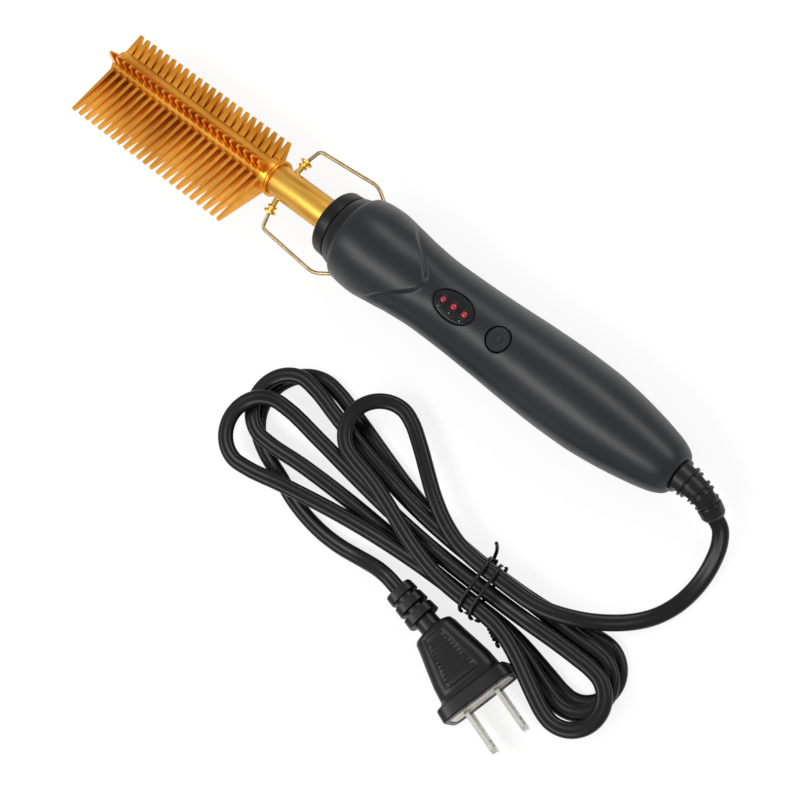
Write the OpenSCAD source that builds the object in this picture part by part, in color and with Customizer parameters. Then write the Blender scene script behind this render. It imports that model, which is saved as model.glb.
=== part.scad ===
/* [Handle] */
// Height of the device's axis above the table; the front bulge of the handle rests on it
axis_h = 17.1; // [17.1:0.1:17.3]
// Wall thickness of the two handle shells
shell_wall = 2; // [1.6:0.1:2.4]
// Radius at the largest bulge behind the nose
bulge_r = 17.1; // [16.5:0.1:17.1]
// Radius at the waist, under the index finger
waist_r = 14.1; // [13.6:0.1:15]
// Radius at the rear belly
belly_r = 15.7; // [15.2:0.1:16.4]
// Position of the rear end of the handle along the axis
handle_back = -155.5; // [-159:0.5:-155]
// Radius of the cord hole in the rear end
cord_hole_r = 5.2; // [5.1:0.05:5.6]

/* [Nose] */
// Front face of the nose cap along the axis
nose_front = 0.2; // [-0.5:0.1:0.8]
// Length of the nose cap
nose_cap_len = 5.4; // [4.5:0.1:6]
// Length of the front collar that shows
collar_len = 5.6; // [5:0.1:6]
// Radius of the nose cap at its front face
nose_r = 12; // [11.6:0.1:12.4]
// Radius of the front collar where it meets the shells
collar_r = 14; // [13.6:0.1:14.3]

/* [Barrel and comb] */
// Outer radius of the barrel tube
barrel_r = 6.1; // [5.8:0.05:6.4]
// Wall of the barrel tube
barrel_wall = 0.9; // [0.7:0.1:1]
// Position of the comb's first slot end, where the barrel stops
comb_back = 34; // [33:0.5:34]
// Outer radius of the comb's tube
comb_tube_r = 5.9; // [5.7:0.05:6]
// Bore radius of the comb's tube
comb_bore_r = 4.3; // [4.2:0.05:4.4]
// Number of teeth in each row
teeth = 23; // [20:1:23]
// Distance from tooth to tooth
tooth_pitch = 3.62; // [3.5:0.01:3.7]
// Tip radius of the long row, from the axis
long_tip_r = 25.9; // [22:0.1:27]
// Tip radius of the middle row
mid_tip_r = 12.4; // [11:0.1:13.5]
// Tip radius of the outer short row
side_tip_r = 13.5; // [12:0.1:14]
// Angle of the long row from the level direction
long_tilt = 14; // [10:1:18]
// Angle of the outer short row from the level direction
side_tilt = 12; // [8:1:20]

/* [Wire guards] */
// Radius of the guard wire
wire_r = 0.7; // [0.6:0.05:0.75]
// Slope of both guards below the level direction
guard_tilt = 12; // [10:1:14]
// Position of the guard posts along the axis
post_x = 25.5; // [24.5:0.1:26.5]
// Distance of the post's outer face from the axis
post_reach = 11.8; // [11.4:0.1:12.2]
// Distance of the guard's front corner from the axis
guard_front_reach = 17.9; // [17:0.1:18.5]
// Distance of the guard's rear corner from the axis
guard_rear_reach = 19.9; // [19:0.1:20.5]

/* [Controls] */
// Position of the indicator window along the axis
window_x = -62.2; // [-63.5:0.1:-61]
// Length of the indicator window
window_len = 17; // [16:0.1:18]
// Width of the indicator window
window_w = 9.6; // [9:0.1:10]
// Radius of an indicator lamp
led_r = 1.5; // [1.3:0.05:1.6]
// Distance from lamp to lamp
led_pitch = 4.8; // [4.4:0.1:5]
// Position of the button along the axis
button_x = -82.6; // [-85:0.1:-82]
// Radius of the button
button_r = 4.2; // [3.8:0.05:4.3]
// Gap round the button
button_gap = 0.35; // [0.3:0.05:0.4]
// Travel of the button
button_travel = 0.5; // [0.3:0.05:0.5]

/* [Inner parts] */
// Radius of the heater rod
heater_r = 3; // [2.8:0.05:3.1]
// How far the heater ends behind the comb's front
heater_gap = 5.5; // [4:0.5:8]
// Thickness of the circuit board
board_t = 1.6; // [1.2:0.1:1.6]
// Width of the circuit board
board_w = 18.6; // [16:0.1:18.8]
// Height of the board's underside over the axis
board_rise = 5; // [4.8:0.1:5]
// Radius of the insulated inner leads
lead_r = 0.55; // [0.5:0.05:0.6]

/* [Cord and plug] */
// Width of the flat cord
cord_w = 5.6; // [5.4:0.1:5.6]
// Thickness of the flat cord
cord_t = 3.6; // [3.4:0.1:3.6]
// Radius of the tie wire
tie_r = 0.6; // [0.5:0.05:0.6]
// Centre distance of the plug's blades
blade_pitch = 12.7; // [12.7]
// Length of a blade
blade_len = 17; // [15.9:0.1:18.3]
// Width of a blade
blade_w = 6.35; // [6.35:0.05:7.9]
// Thickness of a blade
blade_t = 1.5; // [1.4:0.05:1.6]
// Width of the plug at its face
plug_w = 28.8; // [26:0.2:31]
// Height of the plug
plug_h = 16; // [15:0.2:18]

/* [Hidden] */
$fn = 48;
slip = 0.1;            // running or seating clearance
small = 0.01;          // overlap that makes a clean cut

gold = "#e0a030";
brass = "#d8b860";
wire_colour = "#a08c70";
black = "#26282a";
soft_black = "#1c1c1e";

// ---- helpers -------------------------------------------------------------------------
function ease(t) = let (c = max(0, min(1, t))) c * c * (3 - 2 * c);
function dir(a) = [cos(a), sin(a)];
function unit(v) = v / norm(v);
function last(v) = v[len(v) - 1];
function bezier(a, b, c, d, t) =
    pow(1 - t, 3) * a + 3 * pow(1 - t, 2) * t * b + 3 * (1 - t) * t * t * c + t * t * t * d;

// The value at x of a smooth curve through keys [x, value], whose x values fall
function spline_at(keys, x, i = 0) =
    i >= len(keys) - 2 || x >= keys[i + 1][0]
        ? let (
            p0 = keys[max(0, i - 1)], p1 = keys[i], p2 = keys[i + 1],
            p3 = keys[min(len(keys) - 1, i + 2)],
            span = p2[0] - p1[0], t = (x - p1[0]) / span,
            m1 = (p2[1] - p0[1]) / (p2[0] - p0[0]) * span,
            m2 = (p3[1] - p1[1]) / (p3[0] - p1[0]) * span
        )
        (2 * t * t * t - 3 * t * t + 1) * p1[1] + (t * t * t - 2 * t * t + t) * m1
        + (3 * t * t - 2 * t * t * t) * p2[1] + (t * t * t - t * t) * m2
        : spline_at(keys, x, i + 1);

// Heights that ease from key to key, [share of the way, height]
function eased_keys(keys, t, i = 0) =
    i >= len(keys) - 2 || t <= keys[i + 1][0]
        ? let (w = ease((t - keys[i][0]) / (keys[i + 1][0] - keys[i][0])))
            keys[i][1] * (1 - w) + keys[i + 1][1] * w
        : eased_keys(keys, t, i + 1);

// Length of a path up to each of its points
function way(p, i = 0, sum = 0, out = []) =
    i == len(p) ? out
    : let (s = sum + (i == 0 ? 0 : norm(p[i] - p[i - 1]))) way(p, i + 1, s, concat(out, [s]));

// A tube along a path; sections holds a list of [side, up] points for each path point. Where the
// tube goes on in another one, before and after are that one's next points.
module sweep(path, sections, before = undef, after = undef) {
    n = len(path);
    m = len(sections[0]);
    first = is_undef(before) ? path[0] : before;
    end = is_undef(after) ? path[n - 1] : after;
    points = [for (i = [0 : n - 1])
        let (
            t = unit((i == n - 1 ? end : path[i + 1]) - (i == 0 ? first : path[i - 1])),
            side = unit(cross([0, 0, 1], t)),
            up = cross(t, side)
        )
        for (q = sections[i]) path[i] + side * q[0] + up * q[1]];
    faces = concat(
        [[for (k = [0 : m - 1]) k]],
        [for (i = [0 : n - 2], k = [0 : m - 1])
            for (f = [[i * m + k, (i + 1) * m + k, (i + 1) * m + (k + 1) % m],
                      [i * m + k, (i + 1) * m + (k + 1) % m, i * m + (k + 1) % m]]) f],
        [[for (k = [m - 1 : -1 : 0]) (n - 1) * m + k]]
    );
    polyhedron(points, faces, convexity = 10);
}

function ring_section(r, sides) = [for (k = [0 : sides - 1]) r * dir(360 * (k + 0.5) / sides)];

// The corner points of a flat path with each inner corner bent to its radius
function bent_path(p, bend, steps = 5) = concat([p[0]], [for (i = [1 : len(p) - 2])
    let (
        a = unit(p[i] - p[i - 1]), b = unit(p[i + 1] - p[i]),
        turn = atan2(a[0] * b[1] - a[1] * b[0], a * b), side = sign(turn),
        start = p[i] - a * bend[i - 1] * tan(abs(turn) / 2),
        centre = start + side * bend[i - 1] * [-a[1], a[0]],
        first = atan2(a[1], a[0]) - side * 90
    )
    for (k = [0 : steps]) centre + bend[i - 1] * dir(first + turn * k / steps)], [last(p)]);

// ---- placing -------------------------------------------------------------------------
socket_back = comb_back - 3.6;      // where the comb's socket starts on the barrel
last_tooth = socket_back + 2.8;
first_tooth = last_tooth + tooth_pitch * (teeth - 1);
comb_front = first_tooth + 1.8;
comb_dome = 0.8;                   // how far the end plug stands out of the comb's tube
long_tip_t = 1.5;                  // thickness of the long row at its tips
long_tip_len = 1.05;               // and length of a tip along the comb
long_lean = 2.6;                   // the long tips lie this far ahead of their roots
front_x = max(comb_front + comb_dome, first_tooth + long_lean + long_tip_len / 2);
guard_side = guard_rear_reach * cos(guard_tilt) + wire_r;
comb_side = long_tip_r * cos(long_tilt) + long_tip_t / 2 * sin(long_tilt);
// The origin is on the table, under the middle of the object without its cord
origin_x = (front_x + handle_back) / 2;
origin_y = (comb_side - guard_side) / 2;

module on_table() { translate([-origin_x, -origin_y, 0]) children(); }
// What turns about the device's axis: local Z becomes the device's axis
module on_axis() { on_table() translate([0, 0, axis_h]) rotate([0, 90, 0]) children(); }
// What sits beside the axis, in the device's own directions
module at_axis() { on_table() translate([0, 0, axis_h]) children(); }

// ---- handle --------------------------------------------------------------------------
shell_front = nose_front - nose_cap_len - collar_len;
shell_keys = [
    [shell_front, bulge_r - 2.1], [-13.6, bulge_r - 0.6], [-20, bulge_r], [-29, bulge_r - 1],
    [-38, waist_r + 0.8], [-50, waist_r], [-62, waist_r + 0.1], [-77, waist_r + 0.6],
    [-92, belly_r - 0.3], [-106, belly_r], [-118, belly_r - 0.25], [-128, belly_r - 1.2],
    [-138, belly_r - 2.8], [-146, belly_r - 4.5], [handle_back + 4.5, 9.8],
    [handle_back + 1.5, 8.3], [handle_back, 6.6]
];
shell_steps = 44;
shell_x = [for (i = [0 : shell_steps]) shell_front + (handle_back - shell_front) * i / shell_steps];
function shell_r(x) = spline_at(shell_keys, x);
function inner_r(x) = shell_r(x) - shell_wall;
end_wall = handle_back + 3;      // inside face of the rear end
screw_x = [-36, -126];
boss_r = 4;                      // of the lower shell's screw bosses
window_top = 13.3;               // over the axis
flange_rise = sqrt(pow(inner_r(window_x), 2) - pow(window_w / 2 + 1, 2)) - slip;
board_top = board_rise + board_t;
board_x = [-52, -112];
rib_x = [-56, -106];
wire_path = [
    [post_x, post_reach + 0.03], [post_x - 0.9, guard_front_reach], [-3, guard_rear_reach], [-12.4, 14.3]
];
wire_bend = [2, 6];

function shell_outline() = concat(
    [for (x = shell_x) [shell_r(x), x]],
    [[cord_hole_r, handle_back], [cord_hole_r, end_wall]],
    [[inner_r(end_wall), end_wall]],
    [for (i = [shell_steps : -1 : 0]) if (shell_x[i] > end_wall + 0.5) [inner_r(shell_x[i]), shell_x[i]]]
);

module half_shell(start) {
    on_axis() rotate([0, 0, start]) rotate_extrude(angle = 180) polygon(shell_outline());
}

function ellipse(len, wide) = [for (a = [0 : 10 : 350]) [len / 2 * cos(a), wide / 2 * sin(a)]];

module handle_upper() {
    color(black) difference() {
        union() {
            half_shell(90);
            for (x = screw_x) at_axis() translate([x, 0, slip]) intersection() {
                cylinder(r = 3.2, h = shell_r(x));
                rotate([0, 90, 0]) cylinder(r = inner_r(x) + shell_wall / 2, h = 12, center = true);
            }
        }
        at_axis() translate([window_x, 0, 0]) linear_extrude(20) polygon(ellipse(window_len, window_w));
        at_axis() translate([button_x, 0, 0]) cylinder(r = button_r + button_gap, h = 20);
        for (x = screw_x) at_axis() translate([x, 0, -1]) cylinder(r = 1.15, h = 9);
    }
}

module handle_lower() {
    color(black) difference() {
        union() {
            half_shell(-90);
            for (x = screw_x) at_axis() intersection() {
                translate([x, 0, -shell_r(x)]) cylinder(r = boss_r, h = shell_r(x));
                translate([x, 0, 0]) rotate([0, 90, 0])
                    cylinder(r = inner_r(x) + shell_wall / 2, h = 12, center = true);
            }
            for (x = rib_x) at_axis() intersection() {
                translate([x, -board_w / 2 + 2, -20]) cube([2, board_w - 4, 20 + board_rise]);
                translate([x, 0, 0]) rotate([0, 90, 0])
                    cylinder(r = inner_r(x) + shell_wall / 2, h = 8, center = true);
            }
        }
        for (x = screw_x) at_axis() translate([x, 0, -20]) {
            cylinder(r = 1.7, h = 21);
            cylinder(r = 3, h = 20 - 9);
        }
        for (side = [1, -1]) guard_plane(side) wire_cut();
    }
}

module wire_cut() {
    a = wire_path[2];
    d = unit(wire_path[3] - a);
    translate(a + 2 * d) rotate([0, 0, atan2(d[1], d[0])]) rotate([0, 90, 0])
        cylinder(r = wire_r + slip / 2, h = norm(wire_path[3] - a) - 2);
}

module handle_screws() {
    color("silver") for (x = screw_x) at_axis() translate([x, 0, -9]) {
        cylinder(r = 1.1, h = 16);
        difference() {
            translate([0, 0, -1.8]) cylinder(r = 2.7, h = 1.8);
            for (a = [0, 90]) rotate([0, 0, a]) translate([-1.7, -0.3, -2]) cube([3.4, 0.6, 1.1]);
        }
    }
}

// ---- nose ----------------------------------------------------------------------------
bush_r = 10.1;
barrel_back = -22;
step_r = nose_r + (collar_r - nose_r) * nose_cap_len / (nose_cap_len + collar_len);

module nose_cap() {
    color(soft_black) on_axis() translate([0, 0, nose_front - nose_cap_len]) difference() {
        union() {
            cylinder(r1 = step_r, r2 = nose_r + 0.3, h = nose_cap_len - 0.8);
            translate([0, 0, nose_cap_len - 0.8]) cylinder(r1 = nose_r + 0.3, r2 = nose_r - 0.5, h = 0.8);
        }
        translate([0, 0, -1]) cylinder(r = bush_r + slip, h = nose_cap_len - 1);
        cylinder(r = barrel_r + slip, h = 2 * nose_cap_len);
    }
}

module front_collar() {
    color(soft_black) on_axis() difference() {
        union() {
            translate([0, 0, shell_front]) cylinder(r1 = collar_r, r2 = step_r, h = collar_len - 0.4);
            translate([0, 0, shell_front + collar_len - 0.4]) cylinder(r = step_r - 0.4, h = 0.4);
            translate([0, 0, barrel_back])
                cylinder(r = inner_r(shell_front) - slip, h = shell_front - barrel_back);
        }
        translate([0, 0, -40]) cylinder(r = bush_r + slip, h = 60);
    }
}

module heat_bush() {
    color("#d8cfc0") on_axis() difference() {
        translate([0, 0, barrel_back]) cylinder(r = bush_r, h = nose_front - 2 - barrel_back);
        translate([0, 0, barrel_back - 1]) cylinder(r = barrel_r + slip / 2, h = 40);
    }
}

module barrel() {
    color(gold) on_axis() difference() {
        translate([0, 0, barrel_back]) cylinder(r = barrel_r, h = comb_back - barrel_back);
        translate([0, 0, barrel_back - 1]) cylinder(r = barrel_r - barrel_wall, h = 80);
    }
}

// ---- comb ----------------------------------------------------------------------------
root_back = socket_back + 1.1;     // the rows start inside the socket
root_front = comb_front - 0.2;     // and stop just short of the tube's end
mid_tilt = 93;                     // the middle row stands nearly straight up

// One row: a wedge that thins to its tips, cut into teeth that may lean to the comb's end;
// local X is the row's direction
module tooth_row(tip_r, root_r, root_wide, tip_wide, root_t, tip_t, lean = 0) {
    outline = concat(
        [[0, root_back], [root_r, root_back]],
        [for (i = [0 : teeth - 1]) let (x = last_tooth + i * tooth_pitch)
            for (q = [[root_r, x - root_t / 2], [tip_r, x + lean - tip_t / 2],
                      [tip_r, x + lean + tip_t / 2], [root_r, x + root_t / 2]]) q],
        [[root_r, root_front], [0, root_front]]
    );
    intersection() {
        translate([0, 0, last_tooth - 5]) linear_extrude(first_tooth - last_tooth + 10)
            polygon([[0, -root_wide / 2], [tip_r, -tip_wide / 2],
                     [tip_r, tip_wide / 2], [0, root_wide / 2]]);
        rotate([90, 0, 0]) translate([0, 0, -10]) linear_extrude(20) polygon(outline);
    }
}

// Turns local X from straight down to the angle over the level +Y direction
module row_at(angle) { rotate([0, 0, 90 + angle]) children(); }

module comb_head() {
    color(gold) on_axis() difference() {
        union() {
            translate([0, 0, socket_back]) cylinder(r = barrel_r + 0.75, h = comb_back - socket_back);
            translate([0, 0, comb_back - 2]) cylinder(r = comb_tube_r, h = comb_front - comb_back + 2);
            row_at(long_tilt)
                tooth_row(long_tip_r, comb_tube_r + 0.4, 10.4, long_tip_t, 1.6, long_tip_len, long_lean);
            row_at(mid_tilt)
                tooth_row(mid_tip_r, comb_tube_r + 0.3, 8.6, 1.2, tooth_pitch - 0.5, 1.2);
            row_at(180 - side_tilt)
                tooth_row(side_tip_r, comb_tube_r + 0.3, 6.8, 1.2, tooth_pitch - 0.5, 1.3);
        }
        translate([0, 0, socket_back - 1])
            cylinder(r = barrel_r + slip / 2, h = comb_back - socket_back + 1);
        translate([0, 0, socket_back]) cylinder(r = comb_bore_r, h = 2 * (comb_front - comb_back));
    }
}

module comb_end_plug() {
    color(gold) on_axis() {
        translate([0, 0, comb_front - 3]) cylinder(r = comb_bore_r - slip / 2, h = 3);
        translate([0, 0, comb_front - small])
            cylinder(r1 = comb_bore_r, r2 = comb_bore_r - comb_dome, h = comb_dome);
    }
}

module collar_ring() {
    color(gold) on_axis() difference() {
        translate([0, 0, socket_back - 1.2]) cylinder(r = barrel_r + 1.3, h = 1.2);
        translate([0, 0, socket_back - 2]) cylinder(r = barrel_r + slip / 2, h = 3);
    }
}

// ---- heater --------------------------------------------------------------------------
heater_back = 40;
heater_front = comb_front - heater_gap;
lead_end_x = board_x[0];

module heater_rod() {
    color("#f0ece4") on_axis() translate([0, 0, heater_back])
        cylinder(r = heater_r, h = heater_front - heater_back);
}

module heater_sleeve() {
    color("#c8b890") on_axis() difference() {
        translate([0, 0, heater_back]) cylinder(r = comb_bore_r - slip / 2, h = heater_front - heater_back);
        cylinder(r = heater_r + slip / 2, h = 200);
    }
}

// A lead from the heater to the board's front edge: inside the barrel it lies at y and z, and
// then it passes a screw boss at the side wide
module inner_lead(from_x, y, z, wide, r) {
    edge = board_rise + board_t / 2;
    end = barrel_back + 2;
    path = [[from_x, y, z], [end, y, z], [end - 6, (y + wide) / 2, z + 0.6], [end - 11, wide, z + 2],
        [end - 17, wide, edge - 2.4], [end - 23, wide, edge - 0.6], [end - 27, wide, edge],
        [lead_end_x, wide, edge]];
    at_axis() sweep(path, [for (q = path) ring_section(r, 6)]);
}

module heater_leads() {
    color("#d04028") for (s = [-1, 1]) inner_lead(heater_back, s * 2, -1.4, s * (boss_r + 2.2), lead_r);
}

module thermistor() {
    bead_r = 0.8;
    color("#e8e0d0") {
        at_axis() translate([heater_back - 4, 0, 1.6]) rotate([0, 90, 0]) cylinder(r = bead_r, h = 4);
        for (s = [-1, 1]) inner_lead(heater_back - 4, s * 0.45, 1.6, s * (boss_r + 0.9), 0.3);
    }
}

// ---- wire guards ---------------------------------------------------------------------
// The level plane through the axis, sloped down to one side; side is 1 for left, -1 for right
module guard_plane(side) {
    at_axis() mirror([0, side > 0 ? 1 : 0, 0]) rotate([guard_tilt, 0, 0]) mirror([0, 1, 0]) children();
}

module guard_post(side) {
    color(brass) at_axis() rotate([-side * guard_tilt, 0, 0]) translate([post_x, 0, 0])
    rotate([-side * 90, 0, 0]) {
        foot = sqrt(pow(barrel_r, 2) - 1.2) + 0.15;
        translate([0, 0, foot]) cylinder(r = 1.1, h = post_reach - foot);
        translate([0, 0, post_reach - 2.8]) cylinder(r = 2, h = 0.8);
        translate([0, 0, post_reach - 1.1]) cylinder(r = 2.5, h = 1.1);
    }
}

module guard_wire(side) {
    path = [for (q = bent_path(wire_path, wire_bend)) [q[0], side * q[1], 0]];
    color(wire_colour) at_axis() rotate([-side * guard_tilt, 0, 0])
        sweep(path, [for (q = path) ring_section(wire_r, 10)]);
}

// ---- controls ------------------------------------------------------------------------
led_x = [for (i = [-1 : 1]) window_x - i * led_pitch];
cap_top = 14.75;                                     // the button's face over the axis
cap_base = 10.7;
switch_top = 9.9;

module indicator_window() {
    color("#101416") at_axis() translate([window_x, 0, 0]) difference() {
        union() {
            translate([0, 0, flange_rise - small]) linear_extrude(window_top - flange_rise)
                polygon(ellipse(window_len - 2 * slip, window_w - 2 * slip));
            translate([0, 0, flange_rise - 0.8]) linear_extrude(0.8)
                polygon(ellipse(window_len + 2, window_w + 2));
        }
        for (i = [-1 : 1]) translate([i * led_pitch, 0, 0]) cylinder(r = led_r + slip, h = 20);
    }
}

module led(x) {
    dome_z = window_top - 0.9;
    color("#c01020") at_axis() translate([x, 0, 0]) {
        translate([0, 0, 8.6]) cylinder(r = led_r, h = dome_z - 8.6);
        translate([0, 0, dome_z]) sphere(r = led_r);
        for (s = [-1, 1]) translate([s * 0.9, 0, board_top]) cylinder(r = 0.25, h = 2.1);
    }
}

module power_button() {
    color(black) at_axis() translate([button_x, 0, 0]) difference() {
        union() {
            translate([0, 0, cap_base]) cylinder(r = button_r, h = cap_top - 0.3 - cap_base);
            translate([0, 0, cap_top - 0.3]) cylinder(r1 = button_r, r2 = button_r - 0.3, h = 0.3);
            translate([0, 0, cap_base]) cylinder(r = button_r + 1, h = 0.8);
        }
        translate([0, 0, cap_top - 0.25]) rotate([0, 0, 35]) rotate_extrude(angle = 290)
            translate([1.5, 0]) square([0.35, 1]);
        translate([0.7, -0.2, cap_top - 0.25]) cube([1.5, 0.4, 1]);
    }
}

module switch_plunger() {
    color("#e8e8e0") at_axis() translate([button_x, 0, switch_top - 0.6])
        cylinder(r = 1.6, h = cap_base - switch_top + 0.6);
}

module tact_switch() {
    color("#303438") at_axis() difference() {
        translate([button_x - 3, -3, board_top]) cube([6, 6, switch_top - board_top]);
        translate([button_x, 0, switch_top - 0.6 - button_travel - 0.2]) cylinder(r = 1.75, h = 5);
    }
}

module circuit_board() {
    color("#1f5a34") at_axis() translate([board_x[1], -board_w / 2, board_rise])
        cube([board_x[0] - board_x[1], board_w, board_t]);
}

module control_chip() {
    chip = [9, 4, 1.5];
    // it lies behind the switch
    color("#202020") at_axis() translate([button_x - 6.4 - chip[0], -chip[1] / 2, board_top]) cube(chip);
}

module capacitor() {
    can_r = 4.5;
    color("#304878") at_axis() translate([-96, 0, board_rise - can_r]) rotate([0, 90, 0])
        cylinder(r = can_r, h = 14, center = true);
}

module triac() {
    color("#202020") at_axis() translate([-74, -4, board_rise - 4]) cube([10, 8, 4]);
}

module mains_leads() {
    edge = board_rise + board_t / 2;
    back = board_x[1];
    wide = boss_r + 1.4;
    color("#604020") for (s = [-1, 1]) {
        path = [[back, s * wide, edge], [back - 4, s * wide, edge], [back - 9, s * wide, edge - 1],
            [back - 15, s * wide, 3], [back - 21, s * wide, 1], [back - 28, s * 3.4, 0.1],
            [relief_inner_x + 4, s * 1.4, 0], [relief_inner_x, s * 1.4, 0]];
        at_axis() sweep(path, [for (q = path) ring_section(0.8, 6)]);
    }
}

// ---- cord ----------------------------------------------------------------------------
floor_z = cord_t / 2;
relief_path = [
    [handle_back + 5.5, 0, axis_h], [handle_back - 4.5, 0, axis_h], [-164.6, 0.6, 16.2],
    [-168.9, 2.1, 14.1], [-172, 3.9, 11.7]
];
relief_way = way(relief_path);
relief_inner_x = relief_path[0][0];
free_path = [
    [-172, 3.9, 11.7], [-175.1, 5.7, 9.3], [-177.5, 9.8, 6.9], [-178.8, 15.4, 4.7], [-179.3, 21.4, 3.1],
    [-178.9, 28, 2.2], [-177.4, 34.8, 2.2], [-174.4, 41.4, 2.8], [-170.2, 47, 4.6], [-165, 51.8, 7.2],
    [-159.3, 55.8, 9.6], [-153, 59, 10.9], [-146.5, 61.4, 11.4], [-140, 62.7, 11.4], [-134.5, 63, 11.4]
];
plug_at = [-146.8, 98.2];          // middle of the plug's face
plug_dir = 165;                    // the way the blades point
plug_len = 48;                     // from the cord to the face
body_len = 29;                     // the moulded body without its boot
flange_t = 5;
boot_turn = 6.5;                   // the boot bends this far from the blades' line

// The end of the plug's boot, which the tail meets squarely
boot_way = [cos(plug_dir + boot_turn), sin(plug_dir + boot_turn), 0];
boot_end = [plug_at[0], plug_at[1], plug_h / 2] - body_len * [cos(plug_dir), sin(plug_dir), 0]
    - (plug_len - body_len) * boot_way;
tail_path = [
    [-38, 85.3, 1.8], [-44, 87.5, 1.8], [-50, 89, 1.8], [-57, 90.1, 1.8], [-64, 90.5, 1.9],
    [-71, 90.1, 2.3], [-78, 89, 3.2], [-84, 87.9, 4.8], [-89.5, 87.1, 6.8],
    boot_end - cord_w * boot_way, boot_end
];
tie_at = [-124, 69.5];
bundle_dir = 2;
waist_len = 10;
column = 6.2;                      // the strands lie this far apart at the tie
layer = 4.15;                      // and their layers this far
waist_floor = floor_z + 2 * tie_r + 0.4;    // the tie passes below them
// Side and height of each strand at the tie, from the handle's strand to the plug's
strands = [[-1, 2], [1, 2], [0, 1], [1, 1], [-1, 1], [1, 0], [-1, 0]];
// Reach from the tie, direction, end radius, and [share of the way, layer] on the long side
long_loops = [
    [79, -16.5, 12, [[0.14, 2.2], [0.38, 1.2], [0.52, 2.15]]],
    [114, 4, 13, [[0.33, 1.08], [0.46, 2.12], [0.62, 2.12], [0.8, 1.08], [0.9, 1.12]]],
    [113, -2.8, 13, [[0.1, 1.06], [0.66, 1.06], [0.82, 0.02], [0.93, 0.02]]],
    [111, -3, 17, [[0.1, 0], [1, 0]]]
];
short_loops = [
    [58, 169.3, 10.8, [[0.3, 2.15], [0.86, 2.05]]],
    [55, 175.5, 10.8, [[0.15, 1], [0.86, 1]]],
    [54, 180.5, 10.8, [[0.15, 0], [0.86, 0]]]
];
spread = 9;                        // the legs of a loop open by this angle each
leg_rings = 6;
arc_rings = 11;

function waist_z(k) = waist_floor + strands[k][1] * layer;
function waist_xy(k, s) =
    tie_at + s * waist_len / 2 * dir(bundle_dir) + strands[k][0] * column * dir(bundle_dir + 90);

// The plan of half a turn: a leg, an arc round the end, and a leg back
function loop_plan(a, b, out, row, open_end) =
    let (
        far = row[1], r = row[2],
        centre = tie_at + (row[0] - r) * dir(far),
        start_angle = far - 90 - spread,
        s = centre + r * dir(start_angle),
        end_angle = far + 90 + (open_end ? -20 : spread),
        e = centre + r * dir(end_angle),
        la = 0.38 * norm(s - a), lb = 0.38 * norm(e - b)
    )
    concat(
        [for (i = [0 : leg_rings])
            bezier(a, a + la * dir(out), s - la * dir(far - spread), s, i / leg_rings)],
        [for (i = [1 : arc_rings])
            centre + r * dir(start_angle + (end_angle - start_angle) * i / arc_rings)],
        open_end ? [] : [for (i = [1 : leg_rings])
            bezier(e, e - lb * dir(far + spread), b + lb * dir(out), b, i / leg_rings)]
    );

function with_heights(plan, z_keys) =
    let (s = way(plan), all = last(s))
    [for (i = [0 : len(plan) - 1]) [plan[i][0], plan[i][1], eased_keys(z_keys, s[i] / all)]];

function half_turn(k) =
    let (
        s = k % 2 == 0 ? 1 : -1,
        rows = s > 0 ? long_loops : short_loops,
        row = rows[floor(k / 2)],
        end = k == len(strands) - 1,
        next = end ? k : k + 1,
        mid = [for (q = row[3]) [q[0], floor_z + q[1] * layer]],
        keys = concat([[0, waist_z(k)]], mid, end ? [] : [[1, waist_z(next)]]),
        out = bundle_dir + (s > 0 ? 0 : 180)
    )
    concat(
        [[waist_xy(k, -s)[0], waist_xy(k, -s)[1], waist_z(k)]],
        with_heights(loop_plan(waist_xy(k, s), waist_xy(next, s), out, row, end), keys)
    );

hank_path = [for (k = [0 : len(strands) - 1]) each half_turn(k)];
cord_path = concat(free_path, hank_path, tail_path);

six_corners = [[1, 0], [0.5, 1], [-0.5, 1], [-1, 0], [-0.5, -1], [0.5, -1]];
flat_six = [for (q = six_corners) [q[0] * cord_w / 2, q[1] * cord_t / 2]];

module cord_run(path, before = undef, after = undef) {
    color(soft_black) on_table() sweep(path, [for (p = path) flat_six], before, after);
}

// The least gap between stretches of the hank, as flat strands beside or over each other
hank_way = way(hank_path);
function strand_gap(a, b) =
    let (d = a - b, beside = norm([d[0], d[1]]) - cord_w, over = abs(d[2]) - cord_t) max(beside, over);
hank_gap = min([for (i = [0 : len(hank_path) - 1], j = [0 : len(hank_path) - 1])
    if (j > i && hank_way[j] - hank_way[i] > 25) strand_gap(hank_path[i], hank_path[j])]);
echo(hank_gap = hank_gap);
echo(cord_length = last(way(cord_path)));

neck_r = cord_hole_r - 0.3;
flange_r = inner_r(end_wall) - 0.4;
// The boot's radius along its centre line, [length, radius], from the flange inside the shells
relief_sections = [
    [0, flange_r], [2.4, flange_r], [2.4, neck_r], [5.8, neck_r], [5.8, 6], [9.8, 5.7], [9.8, 4.7],
    [10.3, 4.7], [10.3, 5.3], [14.4, 4.9], [14.4, 4.1], [14.9, 4.1], [14.9, 4.7], [18.8, 4.4],
    [18.8, 3.8], [19.3, 3.8], [19.3, 4.3], [relief_way[3], 4.3], [last(relief_way), 3.8]
];

module strain_relief() {
    // the point of the boot's centre line at the length t
    function at(t) = [for (c = [0 : 2])
        lookup(t, [for (i = [0 : len(relief_way) - 1]) [relief_way[i], relief_path[i][c]]])];
    color(soft_black) on_table()
        sweep([for (q = relief_sections) at(q[0])], [for (q = relief_sections) ring_section(q[1], 24)]);
}

// The tie: two turns round the bundle, a free end along the bundle and one beside it
tie_pitch = 4.4;
tie_bend = 3.5;
tie_gap = 0.4;
tie_half = column + cord_w / 2 + tie_r + tie_gap;
tie_top = waist_z(0) + cord_t / 2 + tie_r + tie_gap;

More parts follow.
